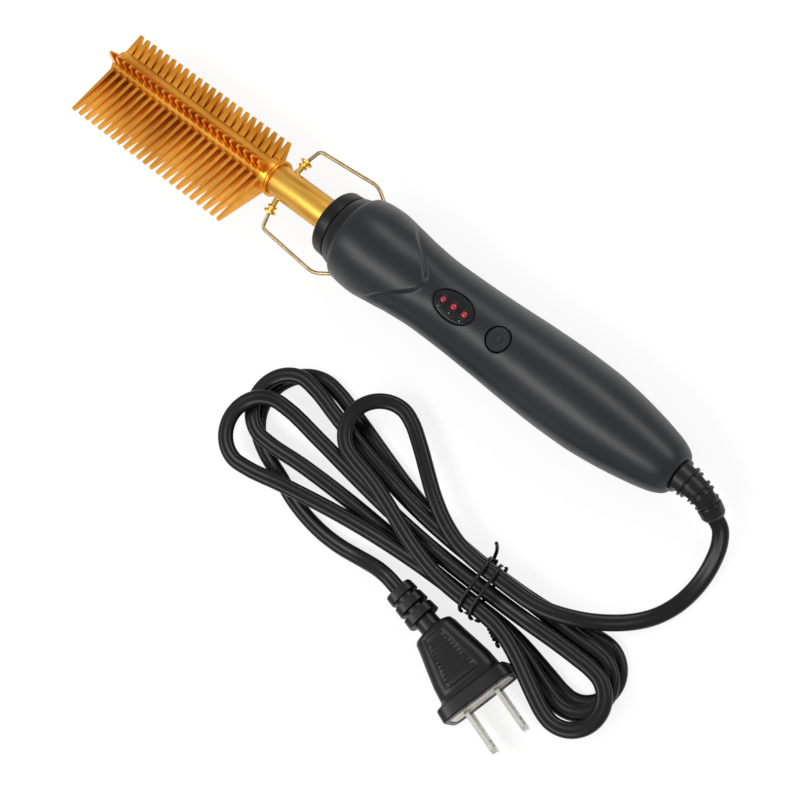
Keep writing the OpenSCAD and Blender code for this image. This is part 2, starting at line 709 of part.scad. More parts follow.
// One turn as a box with round corners, which moves on by the pitch; local X lies along the bundle
function tie_turn(start) = [for (c = [0 : 3], a = [0 : 30 : 90])
    [start + tie_pitch * (c + a / 90) / 4, 0, 0] + tie_corner(c, a)];
// Corners in order: low on the left, high on the left, high on the right, low on the right
function tie_corner(c, a) =
    let (y = c < 2 ? 1 : -1, z = c == 0 || c == 3 ? -1 : 1, angle = -90 + 90 * c + a,
        cy = y * (tie_half - tie_bend), cz = z > 0 ? tie_top - tie_bend : tie_r + tie_bend)
    [0, cy + tie_bend * cos(angle), cz + tie_bend * sin(angle)];

module cord_tie() {
    start = -tie_pitch;
    left_end = [[start - 9, tie_half + 1.4, 2.4], [start - 6, tie_half + 1.2, 1.8],
        [start - 3, tie_half - 0.5, 0.8], [start - 1.2, tie_half - 4, tie_r]];
    right_end = [[tie_pitch + 0.6, -tie_half + 4.5, tie_r], [tie_pitch + 1, -tie_half + 1, tie_r + 0.2],
        [tie_pitch + 1.4, -tie_half - 2.4, 2], [tie_pitch + 1.6, -tie_half - 4.4, 5]];
    path = concat(left_end, tie_turn(start), tie_turn(0), right_end);
    color(soft_black) on_table() translate([tie_at[0], tie_at[1], 0]) rotate([0, 0, bundle_dir])
        sweep(path, [for (q = path) ring_section(tie_r, 6)]);
}

// ---- plug ----------------------------------------------------------------------------
// Local +X points along the blades, from the middle of the face
module at_plug() {
    on_table() translate([plug_at[0], plug_at[1], plug_h / 2]) rotate([0, 0, plug_dir]) children();
}

module plug_body() {
    half = plug_w / 2;
    neck = 7.6;
    h = plug_h / 2;
    // half widths and half heights from the face back, [distance, half]
    widths = [[0, half], [-flange_t, half - 0.4], [-flange_t - 1.5, half - 2.9],
        [-0.42 * body_len, half - 3.4], [-0.6 * body_len, half - 4.4],
        [-0.82 * body_len, neck + 1], [-body_len, neck]];
    heights = [[0, h], [-flange_t, h], [-flange_t - 2.5, h - 2], [-body_len, neck - 2]];
    color(soft_black) at_plug() difference() {
        union() {
            intersection() {
                translate([0, 0, -plug_h]) linear_extrude(2 * plug_h) polygon(both_sides(widths));
                rotate([90, 0, 0]) translate([0, 0, -plug_w]) linear_extrude(2 * plug_w)
                    polygon(both_sides(heights));
            }
            translate([-body_len, 0, 0]) rotate([0, 0, boot_turn]) boot();
        }
        translate([-1, -plug_w / 2 + 1.2, -plug_h / 2 + 1.2]) cube([2, plug_w - 2.4, plug_h - 2.4]);
    }
}

function both_sides(rows) = concat(rows, [for (i = [len(rows) - 1 : -1 : 0]) [rows[i][0], -rows[i][1]]]);

module boot() {
    long = plug_len - body_len;
    translate([-long, 0, 0]) rotate([0, 90, 0]) cylinder(r = 3.6, h = long + 1.5);
    for (i = [0 : 2]) translate([-long * (0.36 + 0.27 * i), 0, 0]) rotate([0, 90, 0])
        cylinder(r1 = 5.9 - 0.3 * i, r2 = 6.2 - 0.3 * i, h = 3.6, center = true);
}

module plug_face() {
    color("#3a3a3c") at_plug() difference() {
        translate([-1, -plug_w / 2 + 1.2 + slip, -plug_h / 2 + 1.2 + slip])
            cube([1, plug_w - 2.4 - 2 * slip, plug_h - 2.4 - 2 * slip]);
        blade_pair(slip / 2);
    }
}

module blade_pair(grow) {
    for (s = [-1, 1]) translate([-1, s * blade_pitch / 2 - blade_t / 2 - grow, -blade_w / 2 - grow])
        cube([blade_len + 1, blade_t + 2 * grow, blade_w + 2 * grow]);
}

module plug_blades() {
    color("silver") at_plug() difference() {
        blade_pair(0);
        translate([blade_len - 3.6, 0, 0]) rotate([90, 0, 0])
            cylinder(r = 1.5, h = 2 * blade_pitch, center = true);
        for (v = [-1, 1], s = [-1, 1]) translate([blade_len, s * blade_pitch / 2, v * (blade_w / 2)])
            rotate([0, 45, 0]) cube([2, 4, 2], center = true);
    }
}

comb_head();
comb_end_plug();
collar_ring();
barrel();
heater_rod();
heater_sleeve();
heater_leads();
thermistor();
heat_bush();
guard_post(1);  // guard_post_left
guard_post(-1);  // guard_post_right
guard_wire(1);  // guard_wire_left
guard_wire(-1);  // guard_wire_right
nose_cap();
front_collar();
handle_upper();
handle_lower();
handle_screws();
indicator_window();
led(led_x[0]);  // led_low
led(led_x[1]);  // led_mid
led(led_x[2]);  // led_high
power_button();
switch_plunger();
tact_switch();
circuit_board();
control_chip();
capacitor();
triac();
mains_leads();
strain_relief();
cord_run(concat(free_path, [hank_path[0]]), after = hank_path[1]);  // power_cord
cord_run(hank_path, last(free_path), tail_path[0]);  // cord_hank
cord_run(concat([last(hank_path)], tail_path), before = hank_path[len(hank_path) - 2]);  // cord_tail
cord_tie();
plug_body();
plug_face();
plug_blades();
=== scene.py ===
import math

import bmesh
import bpy
from mathutils import Matrix, Vector


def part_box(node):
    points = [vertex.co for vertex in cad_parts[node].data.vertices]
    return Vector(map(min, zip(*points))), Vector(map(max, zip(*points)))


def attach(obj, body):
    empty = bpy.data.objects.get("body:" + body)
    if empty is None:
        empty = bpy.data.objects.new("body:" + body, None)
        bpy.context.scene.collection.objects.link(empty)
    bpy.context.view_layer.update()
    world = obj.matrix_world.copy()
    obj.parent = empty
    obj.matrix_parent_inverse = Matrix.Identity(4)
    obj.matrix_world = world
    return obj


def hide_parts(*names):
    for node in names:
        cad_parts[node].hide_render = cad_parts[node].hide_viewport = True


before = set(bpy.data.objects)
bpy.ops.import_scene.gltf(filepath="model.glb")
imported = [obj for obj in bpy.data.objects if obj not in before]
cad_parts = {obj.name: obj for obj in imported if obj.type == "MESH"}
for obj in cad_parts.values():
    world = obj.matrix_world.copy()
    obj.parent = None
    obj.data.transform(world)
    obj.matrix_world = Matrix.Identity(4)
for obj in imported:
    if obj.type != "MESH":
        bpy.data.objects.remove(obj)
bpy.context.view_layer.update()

# ---- places -------------------------------------------------------------------------------
# All sizes below are millimetres in the tool's own frame: X along the tool towards the comb,
# Y to the side of the long teeth, Z up from the table. The barrel ties it to the row frame.
AXIS_H = 17.1
BARREL_FRONT = 34.0
barrel_low, barrel_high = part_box("barrel")
OFFSET = Vector((barrel_high.x - BARREL_FRONT / 1000, (barrel_low.y + barrel_high.y) / 2, 0))


def row(p):
    """A point of the tool's frame in the row frame, in metres."""
    return Vector(p) / 1000 + OFFSET


def direction(angle):
    """A level unit vector: 0 is towards the comb, 90 to the side of the long teeth."""
    return Vector((math.cos(math.radians(angle)), math.sin(math.radians(angle)), 0))


def flat(v):
    return Vector((v[0], v[1]))


def ease(t):
    """From 0 to 1 with t, with a soft start and end."""
    t = min(max(t, 0.0), 1.0)
    return t * t * (3 - 2 * t)


def soft_edge(inside, width):
    """From 0 to 1 across an edge of this width; inside is how far in a place lies."""
    return ease(inside / width + 0.5)


def along(keys, x):
    """Straight lines through sorted (place, value) keys."""
    if x <= keys[0][0]:
        return keys[0][1]
    for (x0, y0), (x1, y1) in zip(keys, keys[1:]):
        if x <= x1:
            return y0 + (y1 - y0) * (x - x0) / (x1 - x0)
    return keys[-1][1]


def cubic(t, a, b, leave, arrive):
    """A cubic curve from a to b, with its slopes at both ends."""
    return (
        (2 * t**3 - 3 * t**2 + 1) * a
        + (t**3 - 2 * t**2 + t) * leave
        + (3 * t**2 - 2 * t**3) * b
        + (t**3 - t**2) * arrive
    )


def smooth_along(keys, x):
    """A smooth curve through sorted (place, value) keys."""
    count = len(keys)
    i = 0
    while i < count - 2 and x > keys[i + 1][0]:
        i += 1

    def slope(k):
        if k == 0 or k == count - 1:
            a, b = (keys[0], keys[1]) if k == 0 else (keys[-2], keys[-1])
            return (b[1] - a[1]) / (b[0] - a[0])
        before = (keys[k][1] - keys[k - 1][1]) / (keys[k][0] - keys[k - 1][0])
        after = (keys[k + 1][1] - keys[k][1]) / (keys[k + 1][0] - keys[k][0])
        return 0.0 if before * after <= 0 else 2 * before * after / (before + after)

    (x0, y0), (x1, y1) = keys[i], keys[i + 1]
    span = x1 - x0
    t = min(max((x - x0) / span, 0.0), 1.0)
    return cubic(t, y0, y1, span * slope(i), span * slope(i + 1))


def smooth_path(points, steps):
    """The points with more between them, on one smooth curve that goes through each."""
    points = [Vector(p) for p in points]
    points = points[:1] + [b for a, b in zip(points, points[1:]) if (b - a).length > 0.01]
    gaps = [(b - a).length for a, b in zip(points, points[1:])]
    ways = [(b - a) / g for a, b, g in zip(points, points[1:], gaps)]
    turns = [ways[0]]
    for i in range(1, len(points) - 1):
        turns.append((ways[i - 1] * gaps[i] + ways[i] * gaps[i - 1]) / (gaps[i - 1] + gaps[i]))
    turns.append(ways[-1])
    out = [points[0]]
    for i, gap in enumerate(gaps):
        for k in range(1, steps + 1):
            out.append(cubic(k / steps, points[i], points[i + 1], gap * turns[i], gap * turns[i + 1]))
    return out


def lengths(path):
    """How far along the path each of its points lies."""
    ways = [0.0]
    for a, b in zip(path, path[1:]):
        ways.append(ways[-1] + (b - a).length)
    return ways


# ---- camera -------------------------------------------------------------------------------
CAMERA_AT = (-296.44, 23.298, 577.179)
CAMERA_RIGHT = (-0.72829, -0.60636, -0.31925)
CAMERA_DOWN = (-0.56590, 0.79490, -0.21882)
CAMERA_AHEAD = (0.38646, 0.02130, -0.92206)
LENS = 79.28


def make_camera():
    data = bpy.data.cameras.new("camera")
    data.lens = LENS
    data.sensor_width = 36
    camera = bpy.data.objects.new("camera", data)
    bpy.context.scene.collection.objects.link(camera)
    axes = Matrix((Vector(CAMERA_RIGHT), -Vector(CAMERA_DOWN), -Vector(CAMERA_AHEAD)))
    camera.matrix_world = Matrix.Translation(row(CAMERA_AT)) @ axes.transposed().to_4x4()
    bpy.context.scene.camera = camera


make_camera()


# ---- materials ----------------------------------------------------------------------------
def linear(code):
    """A colour such as #a0b0c0 as linear RGBA."""
    parts = [int(code[i : i + 2], 16) / 255 for i in (1, 3, 5)]
    return [c / 12.92 if c < 0.04045 else ((c + 0.055) / 1.055) ** 2.4 for c in parts] + [1.0]


def noise_node(tree, coords, scale, detail, stretch):
    mapping = tree.nodes.new("ShaderNodeMapping")
    mapping.inputs["Scale"].default_value = stretch
    tree.links.new(coords.outputs["Object"], mapping.inputs["Vector"])
    noise = tree.nodes.new("ShaderNodeTexNoise")
    noise.inputs["Scale"].default_value = scale
    noise.inputs["Detail"].default_value = detail
    tree.links.new(mapping.outputs["Vector"], noise.inputs["Vector"])
    return noise


# How deep the grain goes, and where the ramp between the two colours starts and ends
GRAIN_DEPTH = 0.00005
RAMP = (0.32, 0.68)


def two_colours(tree, pattern, dark, light):
    """The colour of a pattern, on a ramp from dark to light."""
    ramp = tree.nodes.new("ShaderNodeValToRGB")
    for stop, place, colour in zip(ramp.color_ramp.elements, RAMP, (dark, light)):
        stop.position = place
        stop.color = linear(colour)
    tree.links.new(pattern.outputs["Fac"], ramp.inputs["Fac"])
    return ramp.outputs["Color"]


def between(tree, pattern, low, high):
    """A pattern's value, moved to run from low to high."""
    spans = tree.nodes.new("ShaderNodeMapRange")
    spans.inputs["To Min"].default_value = low
    spans.inputs["To Max"].default_value = high
    tree.links.new(pattern.outputs["Fac"], spans.inputs["Value"])
    return spans.outputs["Result"]


def grained(tree, pattern, strength):
    """The normal of a surface with the pattern as its grain."""
    relief = tree.nodes.new("ShaderNodeBump")
    relief.inputs["Strength"].default_value = strength
    relief.inputs["Distance"].default_value = GRAIN_DEPTH
    tree.links.new(pattern.outputs["Fac"], relief.inputs["Height"])
    return relief.outputs["Normal"]


def finish(name, dark, light, rough, metal, blotch, grain, bump, stretch=(1, 1, 1), spread=0.06,
           specular=0.5):
    """A material whose colour and roughness wander, with a fine grain in its surface.

    blotch and grain are how many patches of colour and of grain there are in a metre.
    """
    made = bpy.data.materials.new(name)
    made.use_nodes = True
    tree = made.node_tree
    shader = tree.nodes["Principled BSDF"]
    shader.inputs["Metallic"].default_value = metal
    shader.inputs["Specular IOR Level"].default_value = specular
    coords = tree.nodes.new("ShaderNodeTexCoord")
    patches = noise_node(tree, coords, blotch, 4.0, stretch)
    fine = noise_node(tree, coords, grain, 2.0, stretch)
    wander = between(tree, fine, rough - spread, rough + spread)
    tree.links.new(two_colours(tree, patches, dark, light), shader.inputs["Base Color"])
    tree.links.new(wander, shader.inputs["Roughness"])
    tree.links.new(grained(tree, fine, bump), shader.inputs["Normal"])
    return made


LONG = (0.12, 1, 1)  # stretches the grain along the tool
comb_gold = finish("comb_gold", "#d08c2c", "#eeb048", 0.32, 1.0, 45, 1800, 0.1)
tooth_gold = finish("tooth_gold", "#cc8628", "#ecaa42", 0.32, 1.0, 60, 1800, 0.1)
barrel_gold = finish("barrel_gold", "#ad7826", "#dcab4e", 0.4, 1.0, 260, 2600, 0.4, stretch=LONG)
post_gold = finish("post_gold", "#e0ae4c", "#f6d684", 0.16, 1.0, 200, 900, 0.05)
wire_bronze = finish("wire_bronze", "#8f7a5a", "#ad9874", 0.3, 1.0, 300, 2000, 0.12)
handle_black = finish("handle_black", "#121315", "#18191b", 0.37, 0.0, 30, 4200, 0.2, specular=0.3)
nose_black = finish("nose_black", "#0b0b0c", "#101012", 0.36, 0.0, 40, 4200, 0.2, specular=0.2)
window_black = finish("window_black", "#0c0d0e", "#131416", 0.16, 0.0, 60, 900, 0.02, specular=0.25)
button_black = finish("button_black", "#141517", "#1a1b1d", 0.4, 0.0, 60, 4000, 0.2, specular=0.3)
led_red = finish("led_red", "#640812", "#96101c", 0.1, 0.0, 500, 900, 0.02)
mark_grey = finish("mark_grey", "#55585c", "#6a6d72", 0.5, 0.0, 500, 3000, 0.05)
cord_black = finish("cord_black", "#08080a", "#0d0d0f", 0.3, 0.0, 90, 1200, 0.02, spread=0.03,
                    specular=0.22)
plug_black = finish("plug_black", "#08080a", "#0d0d0f", 0.34, 0.0, 70, 3600, 0.22, specular=0.25)
tie_black = finish("tie_black", "#09090a", "#0f0f10", 0.34, 0.0, 200, 3000, 0.1, specular=0.3)
plug_insert = finish("plug_insert", "#b8b2a6", "#cfcac0", 0.45, 0.0, 120, 3000, 0.1)
blade_nickel = finish("blade_nickel", "#cfccc6", "#dddad5", 0.2, 1.0, 90, 900, 0.01, spread=0.03)
ceramic = finish("ceramic", "#e2dccf", "#f1ede4", 0.5, 0.0, 200, 3000, 0.1)
mica = finish("mica", "#b7a57c", "#cdbd96", 0.55, 0.0, 400, 3000, 0.2)
board_green = finish("board_green", "#184c2b", "#236a3e", 0.35, 0.0, 700, 3000, 0.1)
chip_black = finish("chip_black", "#17171a", "#202024", 0.55, 0.0, 200, 5000, 0.3)
capacitor_blue = finish("capacitor_blue", "#26406c", "#345488", 0.3, 0.0, 100, 2000, 0.05)
lead_red = finish("lead_red", "#b3321f", "#cf4630", 0.45, 0.0, 200, 3000, 0.1)
lead_brown = finish("lead_brown", "#50321f", "#6a4630", 0.45, 0.0, 200, 3000, 0.1)
screw_steel = finish("screw_steel", "#8f9194", "#b4b6b8", 0.3, 1.0, 300, 2000, 0.1)
plunger_white = finish("plunger_white", "#d6d5cc", "#e8e8e0", 0.45, 0.0, 200, 3000, 0.1)


# ---- mesh helpers -------------------------------------------------------------------------
def clean_up(mesh):
    work = bmesh.new()
    work.from_mesh(mesh)
    bmesh.ops.remove_doubles(work, verts=work.verts, dist=2e-6)
    bmesh.ops.dissolve_degenerate(work, dist=1e-6, edges=work.edges)
    bmesh.ops.recalc_face_normals(work, faces=work.faces)
    work.to_mesh(mesh)
    work.free()


def make_object(name, parts, sharp=38):
    """One object out of (points, faces) parts, in the tool's frame."""
    points = []
    faces = []
    for part_points, part_faces in parts:
        start = len(points)
        points += [row(p) for p in part_points]
        faces += [[start + i for i in face] for face in part_faces]
    mesh = bpy.data.meshes.new(name)
    mesh.from_pydata(points, [], faces)
    clean_up(mesh)
    mesh.shade_smooth()
    mesh.set_sharp_from_angle(angle=math.radians(sharp))
    made = bpy.data.objects.new(name, mesh)
    bpy.context.scene.collection.objects.link(made)
    return made


def dress(obj, material, nodes=(), body="root"):
    """Gives a piece its material and body, and hides the nodes that it stands for."""
    obj.data.materials.clear()
    obj.data.materials.append(material)
    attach(obj, body)
    if nodes:
        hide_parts(*nodes)
    return obj


def loft(rings, closed_path=False):
    """Points and faces of a skin over rings of equally many points, with flat ends."""
    sides = len(rings[0])
    points = [p for ring in rings for p in ring]
    faces = []
    for i in range(len(rings) - (0 if closed_path else 1)):
        a = i * sides
        b = (i + 1) % len(rings) * sides
        for k in range(sides):
            n = (k + 1) % sides
            faces.append((a + k, b + k, b + n, a + n))
    if not closed_path:
        faces.append(tuple(range(sides)))
        faces.append(tuple(range(len(points) - 1, len(points) - sides - 1, -1)))
    return points, faces


def stations(path):
    """(point, side, up) at each point of a path; the side stays level."""
    out = []
    for i, p in enumerate(path):
        before = path[max(i - 1, 0)]
        after = path[min(i + 1, len(path) - 1)]
        ahead = (after - before).normalized()
        side = Vector((0, 0, 1)).cross(ahead).normalized()
        out.append((p, side, ahead.cross(side)))
    return out


def sweep(path, section):
    """A skin along a path; section(i) gives the ring's (side, up) points."""
    rings = []
    for i, (p, side, up) in enumerate(stations(path)):
        rings.append([p + side * a + up * b for a, b in section(i)])
    return loft(rings)


def oval(half_w, half_h, power, sides):
    """A ring between an ellipse and a box, with rounder corners for a lower power."""
    ring = []
    for k in range(sides):
        a = 2 * math.pi * (k + 0.5) / sides
        c = math.cos(a)
        s = math.sin(a)
        r = (abs(c) ** power + abs(s) ** power) ** (-1 / power)
        ring.append((half_w * c * r, half_h * s * r))
    return ring


def lathe(profile, place, sides=96):
    """A closed (height, radius) profile turned about local Z; place is a matrix."""
    rings = []
    for k in range(sides):
        a = 2 * math.pi * k / sides
        ring = [place @ Vector((r * math.cos(a), r * math.sin(a), t)) for t, r in profile]
        rings.append(ring)
    return loft(rings, closed_path=True)


def rounded(profile, size, steps=3):
    """A closed profile with each corner rounded."""
    out = []
    count = len(profile)
    for i, corner in enumerate(profile):
        p = Vector(corner)
        before = Vector(profile[i - 1]) - p
        after = Vector(profile[(i + 1) % count]) - p
        if p.y < 1e-6 or before.length < 1e-6 or after.length < 1e-6:
            out.append((p.x, p.y))
            continue
        reach = min(size, before.length * 0.45, after.length * 0.45)
        a = p + before.normalized() * reach
        b = p + after.normalized() * reach
        for k in range(steps + 1):
            t = k / steps
            q = (1 - t) ** 2 * a + 2 * t * (1 - t) * p + t * t * b
            out.append((q.x, q.y))
    return out


# Local Z along the tool, from the height of its axis
ALONG_TOOL = Matrix(((0, 0, 1, 0), (1, 0, 0, 0), (0, 1, 0, AXIS_H), (0, 0, 0, 1)))


def upright(x):
    """Local Z up, on the tool's axis at x."""
    return Matrix.Translation((x, 0, AXIS_H))


def turned(name, profile, material, nodes, corner):
    """A piece turned about the tool's axis, from its profile with rounded corners."""
    made = make_object(name, [lathe(rounded(profile, corner), ALONG_TOOL)])
    return dress(made, material, nodes)


# ---- cord ---------------------------------------------------------------------------------
CORD_W = 5.6
CORD_T = 3.6
GROOVE = 0.13       # a share of the cord's thickness
GROOVE_HALF = 0.7
FLOOR_Z = CORD_T / 2
TIE_R = 0.65
TIE_AT = Vector((-124.0, 69.5))
BUNDLE = 2
WAIST = 10
COLUMN = 6.2
LAYER = 4.15
WAIST_FLOOR = FLOOR_Z + 1.6
SPREAD = 9          # degrees that an arc goes past a half turn at each end
OPEN_END = -20      # the same at the end of the last arc, which stops short
LEG_PULL = 0.38     # how far a leg's curve holds its direction at each end, as a share
LEG_RINGS = 6
ARC_RINGS = 11
FREE_PATH = [
    (-172, 3.9, 11.7), (-175.1, 5.7, 9.3), (-177.5, 9.8, 6.9), (-178.8, 15.4, 4.7),
    (-179.3, 21.4, 3.1), (-178.9, 28, 2.2), (-177.4, 34.8, 2.2), (-174.4, 41.4, 2.8),
    (-170.2, 47, 4.6), (-165, 51.8, 7.2), (-159.3, 55.8, 9.6), (-153, 59, 10.9),
    (-146.5, 61.4, 11.4), (-140, 62.7, 11.4), (-134.5, 63, 11.4),
]
TAIL_PATH = [
    (-38, 85.3, 1.8), (-44, 87.5, 1.8), (-50, 89, 1.8), (-57, 90.1, 1.8), (-64, 90.5, 1.9),
    (-71, 90.1, 2.3), (-78, 89, 3.2), (-84, 87.9, 4.8), (-89.5, 87.1, 6.8),
]
# Side and height of each strand at the tie, from the handle's strand to the plug's
STRANDS = [(-1, 2), (1, 2), (0, 1), (1, 1), (-1, 1), (1, 0), (-1, 0)]
# Reach from the tie, direction, end radius, and (share of the way, layer) of each half turn
LONG_LOOPS = [
    (79, -16.5, 12, [(0.14, 2.2), (0.38, 1.2), (0.52, 2.15)]),
    (114, 4, 13, [(0.33, 1.08), (0.46, 2.12), (0.62, 2.12), (0.8, 1.08), (0.9, 1.12)]),
    (113, -2.8, 13, [(0.1, 1.06), (0.66, 1.06), (0.82, 0.02), (0.93, 0.02)]),
    (111, -3, 17, [(0.1, 0), (1, 0)]),
]
SHORT_LOOPS = [
    (58, 169.3, 10.8, [(0.3, 2.15), (0.86, 2.05)]),
    (55, 175.5, 10.8, [(0.15, 1), (0.86, 1)]),
    (54, 180.5, 10.8, [(0.15, 0), (0.86, 0)]),
]

PLUG_AT = Vector((-146.8, 98.2, 8))
PLUG_TURN = 165
PLUG_LEN = 48
PLUG_BODY = 29
BOOT_TURN = 6.5
BOOT_WAY = direction(PLUG_TURN + BOOT_TURN)
BOOT_END = PLUG_AT - PLUG_BODY * direction(PLUG_TURN) - (PLUG_LEN - PLUG_BODY) * BOOT_WAY


def waist_height(k):
    """Height of a strand at the tie."""
    return WAIST_FLOOR + STRANDS[k][1] * LAYER


def waist_place(k, s):
    """Where strand k's straight stretch at the tie ends: towards the comb for s = 1."""
    across = STRANDS[k][0] * COLUMN * flat(direction(BUNDLE + 90))
    return TIE_AT + s * WAIST / 2 * flat(direction(BUNDLE)) + across


def bezier(a, b, c, d, count):
    out = []
    for i in range(count + 1):
        t = i / count
        out.append((1 - t) ** 3 * a + 3 * (1 - t) ** 2 * t * b + 3 * (1 - t) * t**2 * c + t**3 * d)
    return out


def loop_plan(a, b, out_way, loop, open_end):
    """Half a turn from above: a leg, an arc round the end, and a leg back."""
    reach, far, r, _ = loop
    centre = TIE_AT + (reach - r) * flat(direction(far))
    first = far - 90 - SPREAD
    last = far + 90 + (OPEN_END if open_end else SPREAD)
    start = centre + r * flat(direction(first))
    end = centre + r * flat(direction(last))
    out = flat(direction(out_way))
    pull = LEG_PULL * (start - a).length
    into = start - pull * flat(direction(far - SPREAD))
    plan = bezier(a, a + pull * out, into, start, LEG_RINGS)
    for i in range(1, ARC_RINGS + 1):
        plan.append(centre + r * flat(direction(first + (last - first) * i / ARC_RINGS)))
    if not open_end:
        pull = LEG_PULL * (end - b).length
        back = end - pull * flat(direction(far + SPREAD))
        plan += bezier(end, back, b + pull * out, b, LEG_RINGS)[1:]
    return plan


def with_heights(plan, keys):
    """The plan's points with a height, eased between (share of the way, height) keys."""
    ways = lengths(plan)
    out = []
    for p, way in zip(plan, ways):
        share = way / ways[-1]
        z = keys[0][1]
        for (s0, z0), (s1, z1) in zip(keys, keys[1:]):
            if share >= s0:
                z = z0 + (z1 - z0) * ease((share - s0) / (s1 - s0))
        out.append(Vector((p.x, p.y, z)))
    return out


def hank_path():
    """All loops in turn, from the handle's strand at the tie to the plug's."""
    path = []
    for k in range(len(STRANDS)):
        s = 1 if k % 2 == 0 else -1
        loop = (LONG_LOOPS if s > 0 else SHORT_LOOPS)[k // 2]
        last = k == len(STRANDS) - 1
        after = k if last else k + 1
        keys = [(0, waist_height(k))] + [(q, FLOOR_Z + level * LAYER) for q, level in loop[3]]
        if not last:
            keys.append((1, waist_height(after)))
        if k == 0:
            start = waist_place(k, -s)
            path.append(Vector((start.x, start.y, waist_height(k))))
        out_way = BUNDLE + (0 if s > 0 else 180)
        plan = loop_plan(waist_place(k, s), waist_place(after, s), out_way, loop, last)
        path += with_heights(plan, keys)
    return path


def cord_section():
    """A flat cord: round edges and a shallow groove between its cores on both faces."""
    ring = []
    for side, height in oval(CORD_W / 2, CORD_T / 2, 2.7, 36):
        ring.append((side, height * (1 - GROOVE * math.exp(-((side / GROOVE_HALF) ** 2)))))
    return ring


def make_cord():
    tail = [Vector(p) for p in TAIL_PATH] + [BOOT_END - CORD_W * BOOT_WAY, BOOT_END]
    path = smooth_path([Vector(p) for p in FREE_PATH] + hank_path() + tail, 4)
    for p in path:
        p.z = max(p.z, FLOOR_Z)
    section = cord_section()
    made = make_object("flat_cord", [sweep(path, lambda i: section)], 50)
    dress(made, cord_black, ["power_cord", "cord_hank", "cord_tail"])
    return made, path


cord, cord_route = make_cord()


# ---- strain relief ------------------------------------------------------------------------
HANDLE_BACK = -155.5
RELIEF_PATH = [
    (HANDLE_BACK + 5.5, 0, AXIS_H), (HANDLE_BACK - 4.5, 0, AXIS_H), (-164.6, 0.6, 16.2),
    (-168.9, 2.1, 14.1), FREE_PATH[0],
]
# Radius along the boot: a flange, a neck, and parts with fine grooves between them
RELIEF_KEYS = [
    (0, 6.1), (2.3, 6.1), (2.4, 4.9), (5.6, 4.9), (5.7, 5.5), (6.0, 5.95), (6.4, 6.05), (9.3, 5.7),
    (9.7, 5.5), (9.8, 4.7), (10.3, 4.7), (10.4, 5.2), (10.8, 5.35), (13.9, 4.95), (14.3, 4.75),
    (14.4, 4.1), (14.9, 4.1), (15.0, 4.6), (15.4, 4.75), (18.3, 4.4), (18.7, 4.2), (18.8, 3.8),
    (19.3, 3.8), (19.4, 4.15), (19.8, 4.3), (22.8, 4.15), (23.3, 3.95), (23.8, 3.6), (24.6, 3.4),
]
# Pockets at both sides of the ribbed parts: from, to, radius of the floor
RELIEF_POCKETS = [(7.0, 8.9, 4.3), (11.5, 13.3, 3.9), (16.0, 17.8, 3.4)]
POCKET_HALF = 34    # degrees, like the next one
POCKET_EDGE = 6
POCKET_SLOPE = 0.3
RELIEF_SIDES = 72
RELIEF_STEP = 0.25


def relief_ring(s):
    """The boot's ring at s along it."""
    base = along(RELIEF_KEYS, s)
    ring = []
    for k in range(RELIEF_SIDES):
        angle = 360 * (k + 0.5) / RELIEF_SIDES
        r = base
        off = abs((angle + 90) % 180 - 90)
        for low, high, floor_r in RELIEF_POCKETS:
            depth = soft_edge(s - low, POCKET_SLOPE) * soft_edge(high - s, POCKET_SLOPE)
            r += (floor_r - base) * depth * ease((POCKET_HALF - off) / POCKET_EDGE)
        ring.append((r * math.cos(math.radians(angle)), r * math.sin(math.radians(angle))))
    return ring


def make_relief():
    line = smooth_path(RELIEF_PATH, 12)
    ways = lengths(line)
    steps = {RELIEF_STEP * k for k in range(1, int(ways[-1] / RELIEF_STEP) + 1)}
    marks = sorted({key for key, _ in RELIEF_KEYS} | steps)
    marks = [s for s in marks if s <= ways[-1]]
    lines = [list(zip(ways, [p[c] for p in line])) for c in range(3)]
    spots = [Vector([along(keys, s) for keys in lines]) for s in marks]
    part = sweep(spots, lambda i: relief_ring(marks[i]))
    return dress(make_object("cord_boot", [part], 32), plug_black, ["strain_relief"])


relief = make_relief()

# ---- tie ----------------------------------------------------------------------------------
TIE_PITCH = 4.4
TIE_BEND = 3.5
TIE_GAP = 0.4
TIE_HALF = COLUMN + CORD_W / 2 + TIE_R + TIE_GAP
TIE_TOP = waist_height(0) + CORD_T / 2 + TIE_R + TIE_GAP


def tie_corner(c, a):
    """A point at the angle a round the tie's corner c, from the lower left one on."""
    y = (1 if c < 2 else -1) * (TIE_HALF - TIE_BEND)
    z = TIE_R + TIE_BEND if c in (0, 3) else TIE_TOP - TIE_BEND
    angle = math.radians(-90 + 90 * c + a)
    return Vector((0, y + TIE_BEND * math.cos(angle), z + TIE_BEND * math.sin(angle)))


def tie_turn(start):
    """One turn of the wire round the hank, from start along it."""
    turn = []
    for c in range(4):
        for a in range(0, 91, 15):
            turn.append(tie_corner(c, a) + Vector((start + TIE_PITCH * (c + a / 90) / 4, 0, 0)))
    return turn


def twist(a, b, radius, turns, phase):
    """One strand of a twisted pair between two points."""
    ahead = (b - a).normalized()
    side = ahead.cross(Vector((0, 0, 1))).normalized()
    up = side.cross(ahead)
    count = int(turns * 12)
    out = []
    for i in range(count + 1):
        angle = math.radians(phase + 360 * turns * i / count)
        r = radius * ease(4 * i / count)
        out.append(a.lerp(b, i / count) + side * r * math.cos(angle) + up * r * math.sin(angle))
    return out


